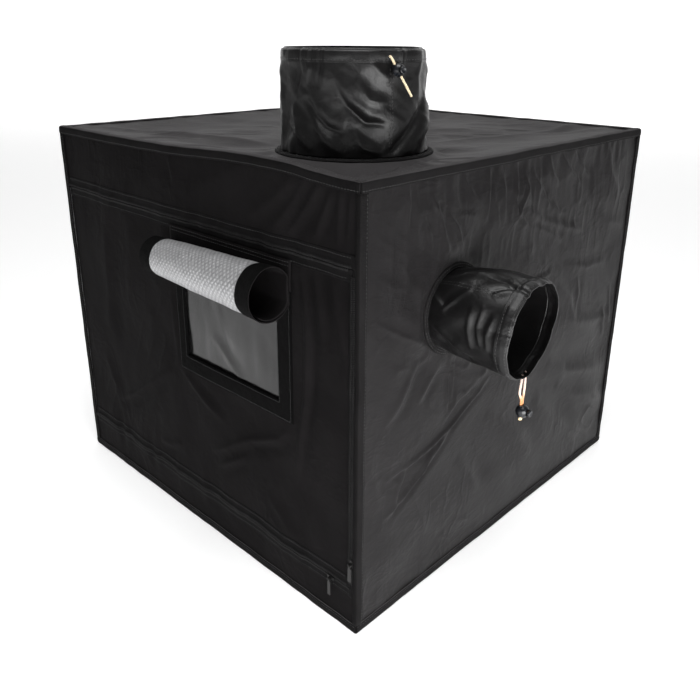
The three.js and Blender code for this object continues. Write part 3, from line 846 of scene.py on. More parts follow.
# The window's hole in the door: x from, x to, z from, z to.
WINDOW = (-8.0, 186.0, 249.0, 403.0)


def panel(name, at, out, us, vs, body, node, material, hole=None):
    """One stretched panel of cloth, lined with foil, for its CAD node."""
    obj = new_object(name, *face_part(at, out, us, vs, hole=hole))
    finished(obj, body, (node,), (material, LINING))


def cover_panels():
    """The seven stretched panels, finer on the faces that the photo shows."""
    high = HIGH - 1.5
    strip_x = lines(-EDGE_FRONT, EDGE_FRONT, FINE, -200, 200)
    header_z = lines(ZIP_TOP + TAPE - TUCK, high, FINE)
    sill_z = lines(LOW, ZIP_BOTTOM - TAPE + TUCK, FINE)
    side_y, side_z = lines(-EDGE_SIDE, EDGE_SIDE, FINE), lines(LOW, high, FINE)
    left_y, hidden_z = lines(-EDGE_SIDE, EDGE_SIDE, COARSE), lines(LOW, high, COARSE)
    back_x = lines(-EDGE_FRONT, EDGE_FRONT, COARSE)
    roof = lines(-EDGE_ROOF, EDGE_ROOF, FINE)
    floor = lines(-EDGE_ROOF, EDGE_ROOF, 10)
    left_out, back_out = plain_out(41, LEFT_FOLDS), plain_out(51, BACK_FOLDS)
    panel("cover_header", front_at, front_out, strip_x, header_z, "shell", "front_header", CLOTH_FRONT_PAINTED_SHADE)
    panel("cover_sill", front_at, front_out, strip_x, sill_z, "shell", "front_sill", CLOTH_FRONT_PAINTED_SHADE)
    panel("cover_right", right_at, right_out, side_y, side_z, "shell", "right_wall", CLOTH_WALL,
          (SIDE_Y, SIDE_Z, SIDE_HOLE))
    panel("cover_left", left_at, left_out, left_y, hidden_z, "shell", "left_wall", CLOTH_WALL)
    panel("cover_back", back_at, back_out, back_x, hidden_z, "shell", "back_wall", CLOTH_WALL)
    panel("cover_roof", roof_at, roof_out, roof, roof, "shell", "roof_panel", CLOTH_ROOF_PAINTED_LIGHT,
          (TOP_X, TOP_Y, TOP_HOLE))
    panel("cover_floor", floor_at, lambda u, v: 0 * u, floor, floor, "shell", "floor_panel", CLOTH_WALL)


# ---- Sewing ----

# One stitch: a low bead with eight faces that stands a little out of the cloth.
STITCH_LONG = 3.1
STITCH_HALF_WIDE = 0.42
STITCH_HIGH = 0.3


def stitches(name, rows, body):
    """Rows of stitches. Each row is (points on the cloth, outward directions), about 4 mm apart."""
    points, faces = [], []
    for places, outs in rows:
        places, outs = np.asarray(places, float), np.asarray(outs, float)
        ahead = np.gradient(places, axis=0)
        ahead /= np.maximum(np.linalg.norm(ahead, axis=1, keepdims=True), 1e-9)
        across = np.cross(outs, ahead)
        for p, o, a, c in zip(places, outs, ahead, across):
            k = len(points)
            half, side, sunk = a * STITCH_LONG / 2, c * STITCH_HALF_WIDE, o * 0.1
            top, bottom = p + o * STITCH_HIGH, p - o * STITCH_HIGH
            points += [p - half - sunk, p + side, p + half - sunk, p - side, top, bottom]
            ring = [k, k + 1, k + 2, k + 3]
            for n in range(4):
                faces += [(ring[n], ring[(n + 1) % 4], k + 4), (ring[(n + 1) % 4], ring[n], k + 5)]
    mesh = new_object(name, points, faces)
    return finished(mesh, body, (), (THREAD,))


def stitch_line(at, out, a, b, lift):
    """Stitch places along a straight line on a face, from a to b in its two coordinates."""
    count = max(2, round(math.dist(a, b) / STITCH_PITCH))
    t = (np.arange(count) + 0.5) / count
    u, v = a[0] + (b[0] - a[0]) * t, a[1] + (b[1] - a[1]) * t
    normal = np.broadcast_to(np.array(OUT[at], float), (count, 3))
    return at(u, v, out(u, v) + lift), normal


# ---- Edge bindings ----

def sweep_mesh(centres, side, up, section):
    """A closed section carried along a line. section is in mm along side and up."""
    n, m = len(centres), len(section)
    sec = np.asarray(section, float)
    across, height = sec[None, :, 0, None], sec[None, :, 1, None]
    rows = centres[:, None, :] + across * side[:, None, :] + height * up[:, None, :]

    def lengths(path):
        return np.concatenate([[0], np.cumsum(np.linalg.norm(np.diff(path, axis=0), axis=1))])

    run, girth = lengths(centres), lengths(np.vstack([sec, sec[:1]]))
    faces, uvs = [], []
    for i in range(n - 1):
        for j in range(m):
            k = (j + 1) % m
            faces.append((i * m + j, (i + 1) * m + j, (i + 1) * m + k, i * m + k))
            near, far = girth[j], girth[j + 1]
            uvs += [(run[i], near), (run[i + 1], near), (run[i + 1], far), (run[i], far)]
    points = rows.reshape(-1, 3)
    a, b, c = points[faces[0][0]], points[faces[0][1]], points[faces[0][2]]
    middle = points[:m].mean(0)
    flip = np.dot(np.cross(b - a, c - b), (a + c) / 2 - middle) < 0
    caps = [list(range(m)), list(range((n - 1) * m, n * m))[::-1]]
    triangles, cap_uv = [], []
    for ring, at in zip(caps, (0, run[-1])):
        for j in range(1, m - 1):
            triangles.append((ring[0], ring[j], ring[j + 1]))
            cap_uv += [(at, 0), (at, 1), (at, 2)]
    if flip:
        faces = [f[::-1] for f in faces]
        uvs = np.array(uvs).reshape(-1, 4, 2)[:, ::-1].reshape(-1, 2).tolist()
        triangles = [t[::-1] for t in triangles]
    return points, faces + triangles, uvs + cap_uv, np.zeros(len(faces) + len(triangles), int)


def binding_section(leg_a, leg_b):
    """A folded tape over a corner: leg_a along one face, leg_b along the other, from the corner."""
    t0, t1 = 0.35, 1.9
    return [
        (leg_a, t0), (leg_a + 0.2, 0.9), (leg_a - 0.3, 1.5), (leg_a - 1.6, t1), (leg_a * 0.55, t1 + 0.35),
        (1.6, t1 + 0.1), (0.2, t1 - 0.1), (-1.1, 1.1), (-t1 + 0.1, -0.2), (-t1 - 0.1, -1.6),
        (-t1 - 0.35, -leg_b * 0.55), (-t1, -leg_b + 1.6), (-1.5, -leg_b + 0.3), (-0.9, -leg_b - 0.2),
        (-t0, -leg_b), (-t0, -0.2), (0.2, t0),
    ]


def bound_edge(a, b, in_a, in_b, leg_a, leg_b, seed):
    """One straight bound edge from a to b. in_a and in_b point from the edge along its two faces."""
    a, b, in_a, in_b = (np.array(p, float) for p in (a, b, in_a, in_b))
    count = int(np.linalg.norm(b - a) / 6) + 2
    t = np.linspace(0, 1, count)[:, None]
    run = t[:, 0] * np.linalg.norm(b - a)
    ease = np.minimum(1, np.minimum(run, run[-1] - run) / 20)
    wobble_a = 0.5 * smooth_noise(run / 19, run * 0 + 0.5, seed) * ease
    wobble_b = 0.5 * smooth_noise(run / 23, run * 0 + 0.5, seed + 1) * ease
    centres = a + (b - a) * t + in_a * wobble_a[:, None] + in_b * wobble_b[:, None]
    side = np.repeat(in_a[None], count, 0)
    up = np.repeat(-in_b[None], count, 0)
    return sweep_mesh(centres, side, up, binding_section(leg_a, leg_b)), (centres, in_a, in_b)


# Only a tape's leg longer than this has stitches of its own.
SEWN_LEG = 6.0


def binding(name, node, edges, seed):
    """A set of bound edges as one piece, with a row of stitches down each leg longer than SEWN_LEG."""
    parts, rows = [], []
    for k, (a, b, in_a, in_b, leg_a, leg_b) in enumerate(edges):
        part, (centres, ia, ib) = bound_edge(a, b, in_a, in_b, leg_a, leg_b, seed + 2 * k)
        parts.append(part)
        count = round(np.linalg.norm(centres[-1] - centres[0]) / STITCH_PITCH)
        t = (np.arange(count) + 0.5) / count
        line = np.stack([np.interp(t, np.linspace(0, 1, len(centres)), centres[:, c]) for c in range(3)], 1)
        for leg, along, back in ((leg_a, ia, ib), (leg_b, ib, ia)):
            if leg > SEWN_LEG:
                rows.append((line + along * (leg - 2.2) - back * 2.05, np.repeat(-back[None], count, 0)))
    obj = new_object(name, *joined_mesh(parts))
    finished(obj, "shell", (node,), (TAPE_DARK, TAPE_FRONT_PAINTED_SHADE, TAPE_ROOF_PAINTED_LIGHT))
    # Each face of the tape takes the copy for the way it faces: painted light where it faces up, painted
    # shade where it faces the front.
    plain, front, roof = range(3)
    facing_share = 0.6
    for face in obj.data.polygons:
        if face.normal.z > facing_share:
            face.material_index = roof
        elif face.normal.y < -facing_share:
            face.material_index = front
        else:
            face.material_index = plain
    stitches(name + "_stitches", rows, "shell")


def bindings():
    """The folded tapes round the roof and the floor and down the four corners."""
    leg, short_leg, rim_leg = 9.5, 4.5, 0.6
    down, up = (0, 0, -1), (0, 0, 1)
    h, z1, z0 = HALF, HIGH, 1.6
    corners = [(-h, -h), (h, -h), (h, h), (-h, h)]
    inward = [(0, 1, 0), (-1, 0, 0), (0, -1, 0), (1, 0, 0)]
    for name, z, way, flat_leg, seed in (("top", z1, down, leg, 60), ("bottom", z0, up, rim_leg, 70)):
        ends = zip(corners, corners[1:] + corners[:1], inward)
        edges = [((*a, z), (*b, z), into, way, flat_leg, leg) for a, b, into in ends]
        binding("edge_" + name, "binding_" + name, edges, seed)
    for name, (x, y), in_a, in_b, leg_a in (
        ("front_left", (-h, -h), (1, 0, 0), (0, 1, 0), leg),
        ("front_right", (h, -h), (-1, 0, 0), (0, 1, 0), short_leg),
        ("back_left", (-h, h), (1, 0, 0), (0, -1, 0), leg),
        ("back_right", (h, h), (-1, 0, 0), (0, -1, 0), leg),
    ):
        edge = [((x, y, z0 + leg), (x, y, z1 - leg), in_a, in_b, leg_a, leg)]
        binding("edge_" + name, "binding_" + name, edge, 80 + len(name))


# ---- The zip ----

def zip_runs(way):
    """The three tape strips of one half: (x from, x to, z from, z to)."""
    gap = 0.3
    if way > 0:
        left, right = -291.0, 298.2
        return [
            (left, right, ZIP_TOP + gap, ZIP_TOP + TAPE),
            (left, right, ZIP_BOTTOM - TAPE, ZIP_BOTTOM - gap),
            (ZIP_SIDE + gap, ZIP_SIDE + SIDE_TAPE, ZIP_BOTTOM - TAPE, ZIP_TOP + TAPE),
        ]
    return [
        (HINGE_X, ZIP_SIDE - gap, ZIP_TOP - TAPE, ZIP_TOP - gap),
        (HINGE_X, ZIP_SIDE - gap, ZIP_BOTTOM + gap, ZIP_BOTTOM + TAPE),
        (ZIP_SIDE - SIDE_TAPE, ZIP_SIDE - gap, ZIP_BOTTOM + gap, ZIP_TOP - gap),
    ]


def zip_height(x, z):
    """The tape's face over the cloth: flat, and raised in a low band over the coil."""
    away = np.minimum(np.minimum(np.abs(z - ZIP_TOP), np.abs(z - ZIP_BOTTOM)), np.abs(x - ZIP_SIDE) + 0.5)
    return front_out(x, z) + 0.35 + 0.9 * np.exp(-((away / 4.2) ** 4))


def zip_half(way):
    """One side of the zip: its tape, its coil and its stitches. way is 1 on the cover, -1 on the door."""
    body = "shell" if way > 0 else "door"
    parts = []
    long_pitch, narrow_pitch, widest_tape = 3.0, 1.1, 20
    for x0, x1, z0, z1 in zip_runs(way):
        ends = ((x0, x1), (z0, z1))
        xs, zs = (lines(a, b, long_pitch if b - a > widest_tape else narrow_pitch) for a, b in ends)
        parts.append(face_part(front_at, zip_height, xs, zs, 0.8))
    name = "zip_tape_cover" if way > 0 else "zip_tape_door"
    obj = new_object(name, *joined_mesh(parts))
    node = "zip_cover_half" if way > 0 else "zip_door_half"
    finished(obj, body, (node,), (ZIP_TAPE, ZIP_TAPE))
    zip_teeth(name + "_coil", way, body)
    rows = []
    for x0, x1, z0, z1 in zip_runs(way)[:2]:
        z = z1 - 3.2 if way * (z0 - 200) > 0 else z0 + 3.2
        rows.append(stitch_line(front_at, zip_height, (x0 + 3, z), (x1 - 8, z), 0.12))
    stitches(name + "_stitches", rows, body)


def zip_teeth(name, way, body):
    """The coil: one small rounded loop after another along each run, leaning across the split."""
    pitch = 1.9
    points, faces = [], []
    for k, (x0, x1, z0, z1) in enumerate(zip_runs(way)):
        level = k < 2
        low, high = (x0 + (2 if way > 0 else 5), x1 - 6) if level else (ZIP_BOTTOM + 6, ZIP_TOP - 6)
        count = int((high - low) / pitch)
        along = low + (np.arange(count) + (0.25 if way > 0 else 0.75)) * pitch
        line = (ZIP_TOP, ZIP_BOTTOM, ZIP_SIDE)[k]
        sign = way * (1, -1, 1)[k]
        for s in along:
            k0 = len(points)
            for d, w, h in ((0.15, 0.5, 0.5), (1.4, 0.62, 1.15), (3.0, 0.55, 0.8), (3.6, 0.25, 0.2)):
                for e in (-w, w):
                    x, z = (s + e, line + sign * d) if level else (line + sign * d, s + e)
                    top = zip_height(np.array(x), np.array(z)) + h
                    points.append(front_at(np.array(x), np.array(z), top))
                    points.append(front_at(np.array(x), np.array(z), top - h - 0.3))
            for a in range(k0, k0 + 12, 4):
                faces += [(a, a + 4, a + 6, a + 2), (a + 1, a + 3, a + 7, a + 5), (a, a + 1, a + 5, a + 4),
                          (a + 2, a + 6, a + 7, a + 3)]
            faces += [(k0, k0 + 2, k0 + 3, k0 + 1), (k0 + 12, k0 + 13, k0 + 15, k0 + 14)]
    obj = new_object(name, np.array(points), faces)
    finished(obj, body, (), (ZIP_COIL,))


# ---- The door ----

# The hook-tape frame's outer and inner edges: x from, x to, z from, z to.
HOOK_OUT = (-18.0, 202.0, 234.0, 417.0)
HOOK_IN = (0.0, 178.0, 257.0, 395.0)


def door():
    """The door's cloth up to its zip tapes, with the window and its frame."""
    xs = lines(HINGE_X, ZIP_SIDE - SIDE_TAPE + TUCK, FINE, *WINDOW[:2])
    zs = lines(ZIP_BOTTOM + TAPE - TUCK, ZIP_TOP - TAPE + TUCK, FINE, *WINDOW[2:])
    panel("door_cloth", front_at, front_out, xs, zs, "door", "door_panel", CLOTH_FRONT_PAINTED_SHADE,
          WINDOW)
    window_pane()
    hook_frame()


def window_pane():
    """The window's film, a little slack, with one pulled crease."""
    def film(x, z):
        pulled = crease(x, z, ((50, 300), (74, 282), (108, 252)), 1.3, 7)
        slack = 0.9 * smooth_noise(x / 60, z / 45, 91) + 0.4 * smooth_noise(x / 16, z / 60, 94)
        return front_out(x, z) * 0.4 - 0.5 + slack + pulled

    gap = 0.4
    x0, x1, z0, z1 = WINDOW
    xs, zs = lines(x0 + gap, x1 - gap, FINE), lines(z0 + gap, z1 - gap, FINE)
    obj = new_object("window_film", *face_part(front_at, film, xs, zs, 0.5))
    finished(obj, "door", ("window_pane",), (FILM, FILM))


def inside(box, x, z):
    """How far a point is inside a box, less than 0 outside it."""
    return np.minimum(np.minimum(x - box[0], box[1] - x), np.minimum(z - box[2], box[3] - z))


def hook_frame():
    """The frame of hook tape round the window, sewn along both edges."""
    def height(x, z):
        pile = 0.25 * smooth_noise(x / 5, z / 5, 92) + 0.18 * smooth_noise(x / 2.1, z / 2.3, 93)
        edge = np.clip(np.minimum(inside(HOOK_OUT, x, z), -inside(HOOK_IN, x, z)) / 2.2, 0, 1)
        return front_out(x, z) + 0.9 + 1.3 * np.sqrt(edge) + pile * edge

    xs = lines(*HOOK_OUT[:2], 1.5, *HOOK_IN[:2])
    zs = lines(*HOOK_OUT[2:], 1.5, *HOOK_IN[2:])
    obj = new_object("window_hook_tape", *face_part(front_at, height, xs, zs, 1.6, HOOK_IN))
    finished(obj, "door", ("window_hook_frame",), (HOOK, HOOK))
    rows = []
    for inset, box in ((2.4, HOOK_OUT), (-2.4, HOOK_IN)):
        x0, x1, z0, z1 = box[0] + inset, box[1] - inset, box[2] + inset, box[3] - inset
        round_box = [(x0, z0), (x1, z0), (x1, z1), (x0, z1), (x0, z0)]
        rows += [stitch_line(front_at, height, a, b, 0.05) for a, b in zip(round_box, round_box[1:])]
    stitches("window_hook_stitches", rows, "door")


# ---- The window flap ----

# The roll: its axis, outer radius, the step between its turns, and the plane it lies against.
ROLL = {"y": -327.2, "z": 394.5, "r": 24.4, "pitch": 2.7, "turns": 1.35, "back": -306.7}
FLAP_X = (-20.0, 205.0)
# The foil shows between these; outside them the roll has its pile bands.
BANDS = (4.0, 180.0)


def flap_roll():
    """The rolled flap: a spiral of cloth with the foil outwards and a pile band at each end."""
    turns = np.linspace(0, ROLL["turns"], 120)
    xs = lines(*FLAP_X, FINE, *BANDS)
    t, x = np.meshgrid(turns, xs, indexing="ij")
    angle = -t * 2 * math.pi
    dent = 0.5 * smooth_noise(x / 42, t * 7, 95) + 0.35 * smooth_noise(x / 16, t * 16, 96)
    end = np.minimum(x - FLAP_X[0], FLAP_X[1] - x)
    flare = 0.5 * np.exp(-end / 8) * smooth_noise(x / 8, t * 6, 97)
    band = np.where((x < BANDS[0]) | (x > BANDS[1]), 0.5, 0.0)
    loose = 6.5 * (x - FLAP_X[0]) / (FLAP_X[1] - FLAP_X[0]) * step(t, 0.0, 0.12)
    r = ROLL["r"] - t * ROLL["pitch"] + dent + flare + band + loose - 0.5
    y = ROLL["y"] + r * np.cos(angle) - loose * 0.8
    y = np.minimum(y, ROLL["back"] - 1.6 * t)
    z = ROLL["z"] + r * np.sin(angle) * 1.02 + loose * 0.6
    out = np.stack([0 * x, np.cos(angle), np.sin(angle)], -1)
    uv = np.stack([x, t * 2 * math.pi * ROLL["r"]], -1)
    columns = (xs[1:] + xs[:-1]) / 2
    slot = np.where((columns < BANDS[0]) | (columns > BANDS[1]), 2, 0)
    slot = np.broadcast_to(slot, (len(turns) - 1, len(columns)))
    part = sheet_mesh(np.stack([x, y, z], -1), out, 1.2, uv, outer_slot=slot, rim_slot=1)
    obj = new_object("flap_rolled", *part)
    finished(obj, "flap_roll", ("flap_roll",), (FOIL, CLOTH_FRONT_PAINTED_SHADE, HOOK))


def flap_hang():
    """The short stretch of flap between its seam and the roll."""
    def hang(x, z):
        return 4.9 + 0.35 * smooth_noise(x / 30, z / 20, 98) + front_out(x, z) * 0.3

    part = face_part(front_at, hang, lines(*FLAP_X, 4), lines(395.0, 429.0, 2.0), 0.7)
    obj = new_object("flap_hanging", *part)
    for material in (CLOTH_FRONT_PAINTED_SHADE, FOIL):
        obj.data.materials.append(material)
    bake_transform(obj)
    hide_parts("flap_sheet")
    left, right = FLAP_X[0] + 2, FLAP_X[1] - 2
    rows = [stitch_line(front_at, hang, (left, z), (right, z), 0.05) for z in (426.5, 422.5)]
    stitches("flap_seam_stitches", rows, "door")


# ---- The duct sleeves ----

def side_place(u, v, w):
    """A point beside the right wall, w mm out."""
    return np.stack([w, u, v], -1)


def top_place(u, v, w):
    """A point over the roof, w mm up."""
    return np.stack([u, v, w], -1)


def circle(sides, ends=False):
    """Angles round a circle, with the first again at the end if ends is set."""
    return np.linspace(0, 2 * math.pi, sides + ends, endpoint=ends)


def round_noise(angle, w, around, reach, seed, twist=0.0):
    """Noise round a sleeve: around bumps in a turn, each reach mm long, leaning by twist."""
    return smooth_noise((angle / (2 * math.pi) + twist * w / 100) * around, w / reach, seed, around)


def facing(angle, towards, radius):
    """How far round the sleeve, in mm, from the side that faces the given direction in degrees."""
    turn = (angle - math.radians(towards) + math.pi) % (2 * math.pi) - math.pi
    return turn * radius


SIDE_FOLDS = [
    (((-10, -4), (4, 20), (-24, 46)), 2.6, 4),
    (((-46, 40), (-44, 70), (-37, 100)), -3.0, 4),
    (((-43, 88), (-34, 76), (-26, 66)), -2.4, 2.5),
    (((-30, 8), (-44, 26), (-50, 44)), 2.4, 4),
    (((-8, 56), (18, 54), (40, 60)), 1.8, 3.5),
    (((-10, 68), (14, 64), (34, 70)), 1.8, 3),
    (((-6, 82), (20, 76), (38, 80)), 1.6, 3),
    (((30, 4), (48, 30), (60, 56)), -2.6, 4),
    (((58, 10), (66, 50), (62, 96)), 2.0, 5),
    (((-62, 20), (-58, 60), (-60, 96)), 2.0, 4),
]


def side_wrinkle(w, angle):
    """Slack folds between the ring and the mouth, and small gathers at both ends."""
    grow = step(w, 0, 30)
    long_folds = 1.8 * round_noise(angle, w, 8, 80, 101, 0.06) * grow
    slant = 1.2 * round_noise(angle, w, 15, 30, 102, 0.2) * step(w, 4, 30)
    gather = 1.1 * round_noise(angle, w, 40, 40, 103) * np.exp(-w / 9)
    folds = creases(facing(angle, 155, 50), w, SIDE_FOLDS)
    return (long_folds + slant) * (1 - 0.6 * step(w, 80, 88)) + gather + folds * (1 - step(w, 84, 100)) - 0.8


TOP_FOLDS = [
    (((106, 66), (86, 44), (60, 20), (30, -6)), -6.5, 7),
    (((128, 60), (108, 34), (84, 10)), 4.0, 9),
    (((-64, 64), (-46, 44), (-32, 32), (-12, 26)), -3.6, 5),
    (((-26, 82), (-10, 56), (12, 38), (36, 36)), -3.2, 4),
    (((-84, 56), (-72, 26), (-50, 6)), 3.4, 7),
    (((-52, 54), (-36, 20), (-10, 4)), 3.0, 7),
    (((0, 84), (16, 62), (38, 58)), 2.4, 5),
    (((-4, 30), (10, 12), (30, 4)), 2.6, 5),
    (((-46, 112), (-41, 96), (-44, 72)), -1.8, 3),
    (((-76, 110), (-72, 90), (-78, 66)), -1.8, 3),
    (((-62, 110), (-58, 92), (-64, 74)), 1.6, 3),
    (((8, 108), (26, 92), (40, 80)), 2.2, 6),
    (((60, 112), (52, 96), (54, 80)), 2.6, 5),
    (((90, 108), (80, 84), (84, 60)), 2.2, 6),
    (((120, 104), (116, 80), (124, 64)), 2.0, 5),
    (((-120, 96), (-108, 50), (-114, 8)), 2.4, 7),
]


def top_wrinkle(w, angle):
    """Big slanting folds, as in a sleeve that has been twisted a little."""
    grow = step(w, 0, 26)
    slant = 1.9 * round_noise(angle, w, 10, 110, 111, 0.34) * grow
    cross = 1.3 * round_noise(angle, w, 17, 50, 112, -0.22) * grow
    small = 0.7 * round_noise(angle, w, 36, 22, 113, 0.3) * grow
    gather = 1.2 * round_noise(angle, w, 60, 40, 114) * np.exp(-w / 9)
    folds = creases(facing(angle, -46, 86), w, TOP_FOLDS) * step(w, -4, 8)
    return slant + cross + small + gather + folds - 1.5


# The two sleeves, in mm. wall is the plane of the wall, out its own shape, c the sleeve's middle on it, and
# root where the cloth starts over it. base and mouth are the radii at the two ends, long and hem the lengths
# of the cloth and of its turned-back mouth, ring and hole the flange's radii, sides the grid columns round,
# seam the direction of the sewn join in radians. channel, puff and drawn shape the hem round its cord, and
# keep is the share of the sleeve's length that is left when it is pushed in.
SIDE = {"name": "side", "place": side_place, "wrinkle": side_wrinkle, "out": right_out, "wall": HALF,
        "c": (SIDE_Y, SIDE_Z), "base": 48.0, "mouth": 53.0, "long": 88.0, "hem": 14.0, "droop": -3.0,
        "ring": SIDE_RING, "hole": SIDE_HOLE, "root": 2.1, "sides": 200, "seam": 2.2,
        "channel": 0.8, "puff": 0.35, "drawn": 1.2, "on": "right_wall",
        "joint": "side_sleeve_collapse", "axis": (1, 0, 0), "anchor": (0.3021, 0, 0), "keep": 28 / 88}
TOP = {"name": "top", "place": top_place, "wrinkle": top_wrinkle, "out": roof_out, "wall": HIGH,
       "c": (TOP_X, TOP_Y), "base": 88.0, "mouth": 83.0, "long": 100.0, "hem": 14.0, "droop": 0.0,
       "ring": 94.0, "hole": TOP_HOLE, "root": 2.1, "sides": 260, "seam": -0.323,
       "channel": 0.35, "puff": 0.12, "drawn": 4.2, "on": "roof_panel",
       "joint": "top_sleeve_collapse", "axis": (0, 0, 1), "anchor": (0, 0, 0.5241), "keep": 0.4}

# The side mouth hangs open in flat stretches between these corners: direction in degrees, distance in mm.
SIDE_CORNERS = [(-162, 54), (-140, 57), (-91, 54), (-65, 46), (-14, 46), (20, 55), (56, 56.5), (78, 50),
                (126, 45), (172, 45.5)]


def sleeve_radius(port, t, angle):
    """The sleeve's radius a share t of the way out; both mouths are slack, the side one in corners."""
    if port is SIDE:
        turns, far = np.radians([c[0] for c in SIDE_CORNERS]), [c[1] for c in SIDE_CORNERS]
        mouth = np.interp(angle, turns, far, period=2 * math.pi)
        belly = (4.0 + 3.5 * np.sin(angle)) * np.sin(math.pi * np.clip(t, 0, 1))
        return port["base"] + (mouth - port["base"]) * t**1.3 + belly
    slack = t * (0.035 * np.cos(3 * angle + 0.6) + 0.02 * np.cos(5 * angle - 1))
    return (port["base"] + (port["mouth"] - port["base"]) * t) * (1 + slack)


def on_sleeve(port, w, angle, wrinkle, lift=0.0):
    """Points w mm out along a sleeve at an angle round it, and their outward directions."""
    t = w / (port["long"] + port["hem"])
    r = sleeve_radius(port, t, angle) + wrinkle(w, angle) + lift
    u = port["c"][0] + r * np.cos(angle)
    v = port["c"][1] - port["droop"] * t * t + r * np.sin(angle)
    outs = port["place"](np.cos(angle), np.sin(angle), 0 * angle)
    return port["place"](u, v, port["wall"] + port["root"] + w), outs


def tube_sheet(name, port, w0, w1, rows, sides, wrinkle, thick):
    """A closed tube of cloth between two distances from the wall."""
    w = np.linspace(w0, w1, rows)
    outer, out = on_sleeve(port, *np.meshgrid(w, circle(sides), indexing="ij"), wrinkle)
    uv = np.stack(np.meshgrid(w, circle(sides, True) * port["base"], indexing="ij")[::-1], -1)
    return new_object(name, *sheet_mesh(outer, out, thick, uv, wrap=True))


def pushed_in(port, obj):
    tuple(port["axis"])
    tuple(port["anchor"])
    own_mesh(obj)


def sleeve(port):
    """The sleeve's cloth, and the sewn join down it: two rows of stitches."""
    name, wrinkle, long = port["name"], port["wrinkle"], port["long"]
    obj = tube_sheet(f"{name}_sleeve_cloth", port, 0.3, long - 0.2, 70, port["sides"], wrinkle, 0.8)
    finished(obj, "shell", (f"{name}_sleeve",), (CLOTH_SLEEVE, CLOTH_SLEEVE))
    pushed_in(port, obj)
    w = np.arange(4, long - 6, STITCH_PITCH)
    for k, shift in enumerate((-1.6, 1.6)):
        angle = np.full(w.shape, port["seam"]) + shift / port["base"]
        row = on_sleeve(port, w, angle, wrinkle, 0.1)
        pushed_in(port, stitches(f"{name}_sleeve_seam_{k}", [row], "shell"))


def hem(port):
    """The mouth: cloth turned back over the drawcord, gathered into small pleats."""
    name, long, deep = port["name"], port["long"], port["hem"]
    body = f"{name}_mouth"

    def puffed(w, angle):
        t = np.clip((w - long) / deep, 0, 1)
        base = port["wrinkle"](np.full_like(w, long), angle)
        channel = port["channel"] * np.exp(-(((t - 0.42) / 0.26) ** 2))
        pleats = 0.7 * round_noise(angle, w, 52, 40, 121) * step(t, 0.05, 0.4)
        roll = -port["drawn"] * step(t, 0.7, 1.0) ** 1.5
        return base + channel + pleats + roll + port["puff"]

    obj = tube_sheet(f"{name}_hem_cloth", port, long - 1.2, long + deep, 24, 300, puffed, 1.1)
    finished(obj, body, (f"{name}_hem",), (CLOTH_SLEEVE, CLOTH_SLEEVE))
    angle = circle(round(2 * math.pi * port["mouth"] / STITCH_PITCH))
    places = (long + 1.8, long + deep - 2.2)
    rows = [on_sleeve(port, np.full_like(angle, w), angle, puffed, 0.1) for w in places]
    stitches(f"{name}_hem_stitches", rows, body)


def flange(port):
    """The doubled ring of cloth that joins the sleeve to the cover, with two rows of stitches."""
    name, hole, ring = port["name"], port["hole"], port["ring"]
    inner = hole - 1.0

    def arch(r):
        """The ring's own height from its inner edge to its outer one."""
        return np.sin(np.pi * np.clip((r - inner) / (ring - inner) * 0.9 + 0.08, 0, 1))

    def on_ring(r, angle, lift):
        u, v = port["c"][0] + r * np.cos(angle), port["c"][1] + r * np.sin(angle)
        points = port["place"](u, v, port["wall"] + port["out"](u, v) + lift + 1.5 * arch(r))
        return points, port["place"](0 * angle, 0 * angle, np.ones_like(angle))

    radii = np.linspace(inner, ring, 9)
    rr, aa = np.meshgrid(radii, circle(160), indexing="ij")
    points, out = on_ring(rr, aa, 0.9 + 0.4 * round_noise(aa, rr, 60, 40, 131))
    uv = np.stack(np.meshgrid(radii, circle(160, True) * ring, indexing="ij")[::-1], -1)
    obj = new_object(f"{name}_flange", *sheet_mesh(points, out, 1.2, uv, wrap=True))
    finished(obj, "shell", (f"{name}_port_ring",), (TAPE_DARK, TAPE_DARK))
    rows = [on_ring(r, circle(round(2 * math.pi * r / STITCH_PITCH)), 1.0) for r in (ring - 1.8, hole + 3.4)]
    stitches(f"{name}_flange_stitches", rows, "shell")


def ducts():
    """The side sleeve and the top sleeve, each with its hem and its flange."""
    for port in (SIDE, TOP):
        sleeve(port)
        hem(port)
        flange(port)


# ---- Drawcords and locks ----

CORD_R = 1.3
# The cords run through a lock this far behind its middle.
CORD_BACK = 1.75
# The floor of the button's hole is this far in front of a lock's middle.
LOCK_FLOOR = 1.5


def smooth_path(points, per=10):
    """Catmull-Rom points through the given ones, per between each two."""
    p = np.array([points[0], *points, points[-1]], float)
    made = []
    for k in range(1, len(p) - 2):
        for t in np.linspace(0, 1, per, endpoint=False):
            a, b, c, d = p[k - 1], p[k], p[k + 1], p[k + 2]
            made.append(0.5 * (2 * b + (c - a) * t + (2 * a - 5 * b + 4 * c - d) * t**2
                               + (3 * b - a - 3 * c + d) * t**3))
    return np.array([*made, p[-2]])


def cord_piece(name, node, points, body, material):
    """A round cord through the points. Returns it, its length and its first point, in metres."""
    path = smooth_path(points)
    curve = bpy.data.curves.new(name, "CURVE")
    curve.dimensions = "3D"
    spline = curve.splines.new("POLY")
    spline.points.add(len(path) - 1)
    spline.points.foreach_set("co", np.c_[path * MM, np.ones(len(path))].ravel())
    curve.bevel_depth = CORD_R * MM
    curve.bevel_resolution = 4
    curve.use_fill_caps = True
    obj = bpy.data.objects.new(name, curve)
    bpy.context.scene.collection.objects.link(obj)
    finished(obj, body, (node,), (material,))
    long = float(np.linalg.norm(np.diff(path, axis=0), axis=1).sum()) * MM
    return obj, long, [c * MM for c in points[0]]


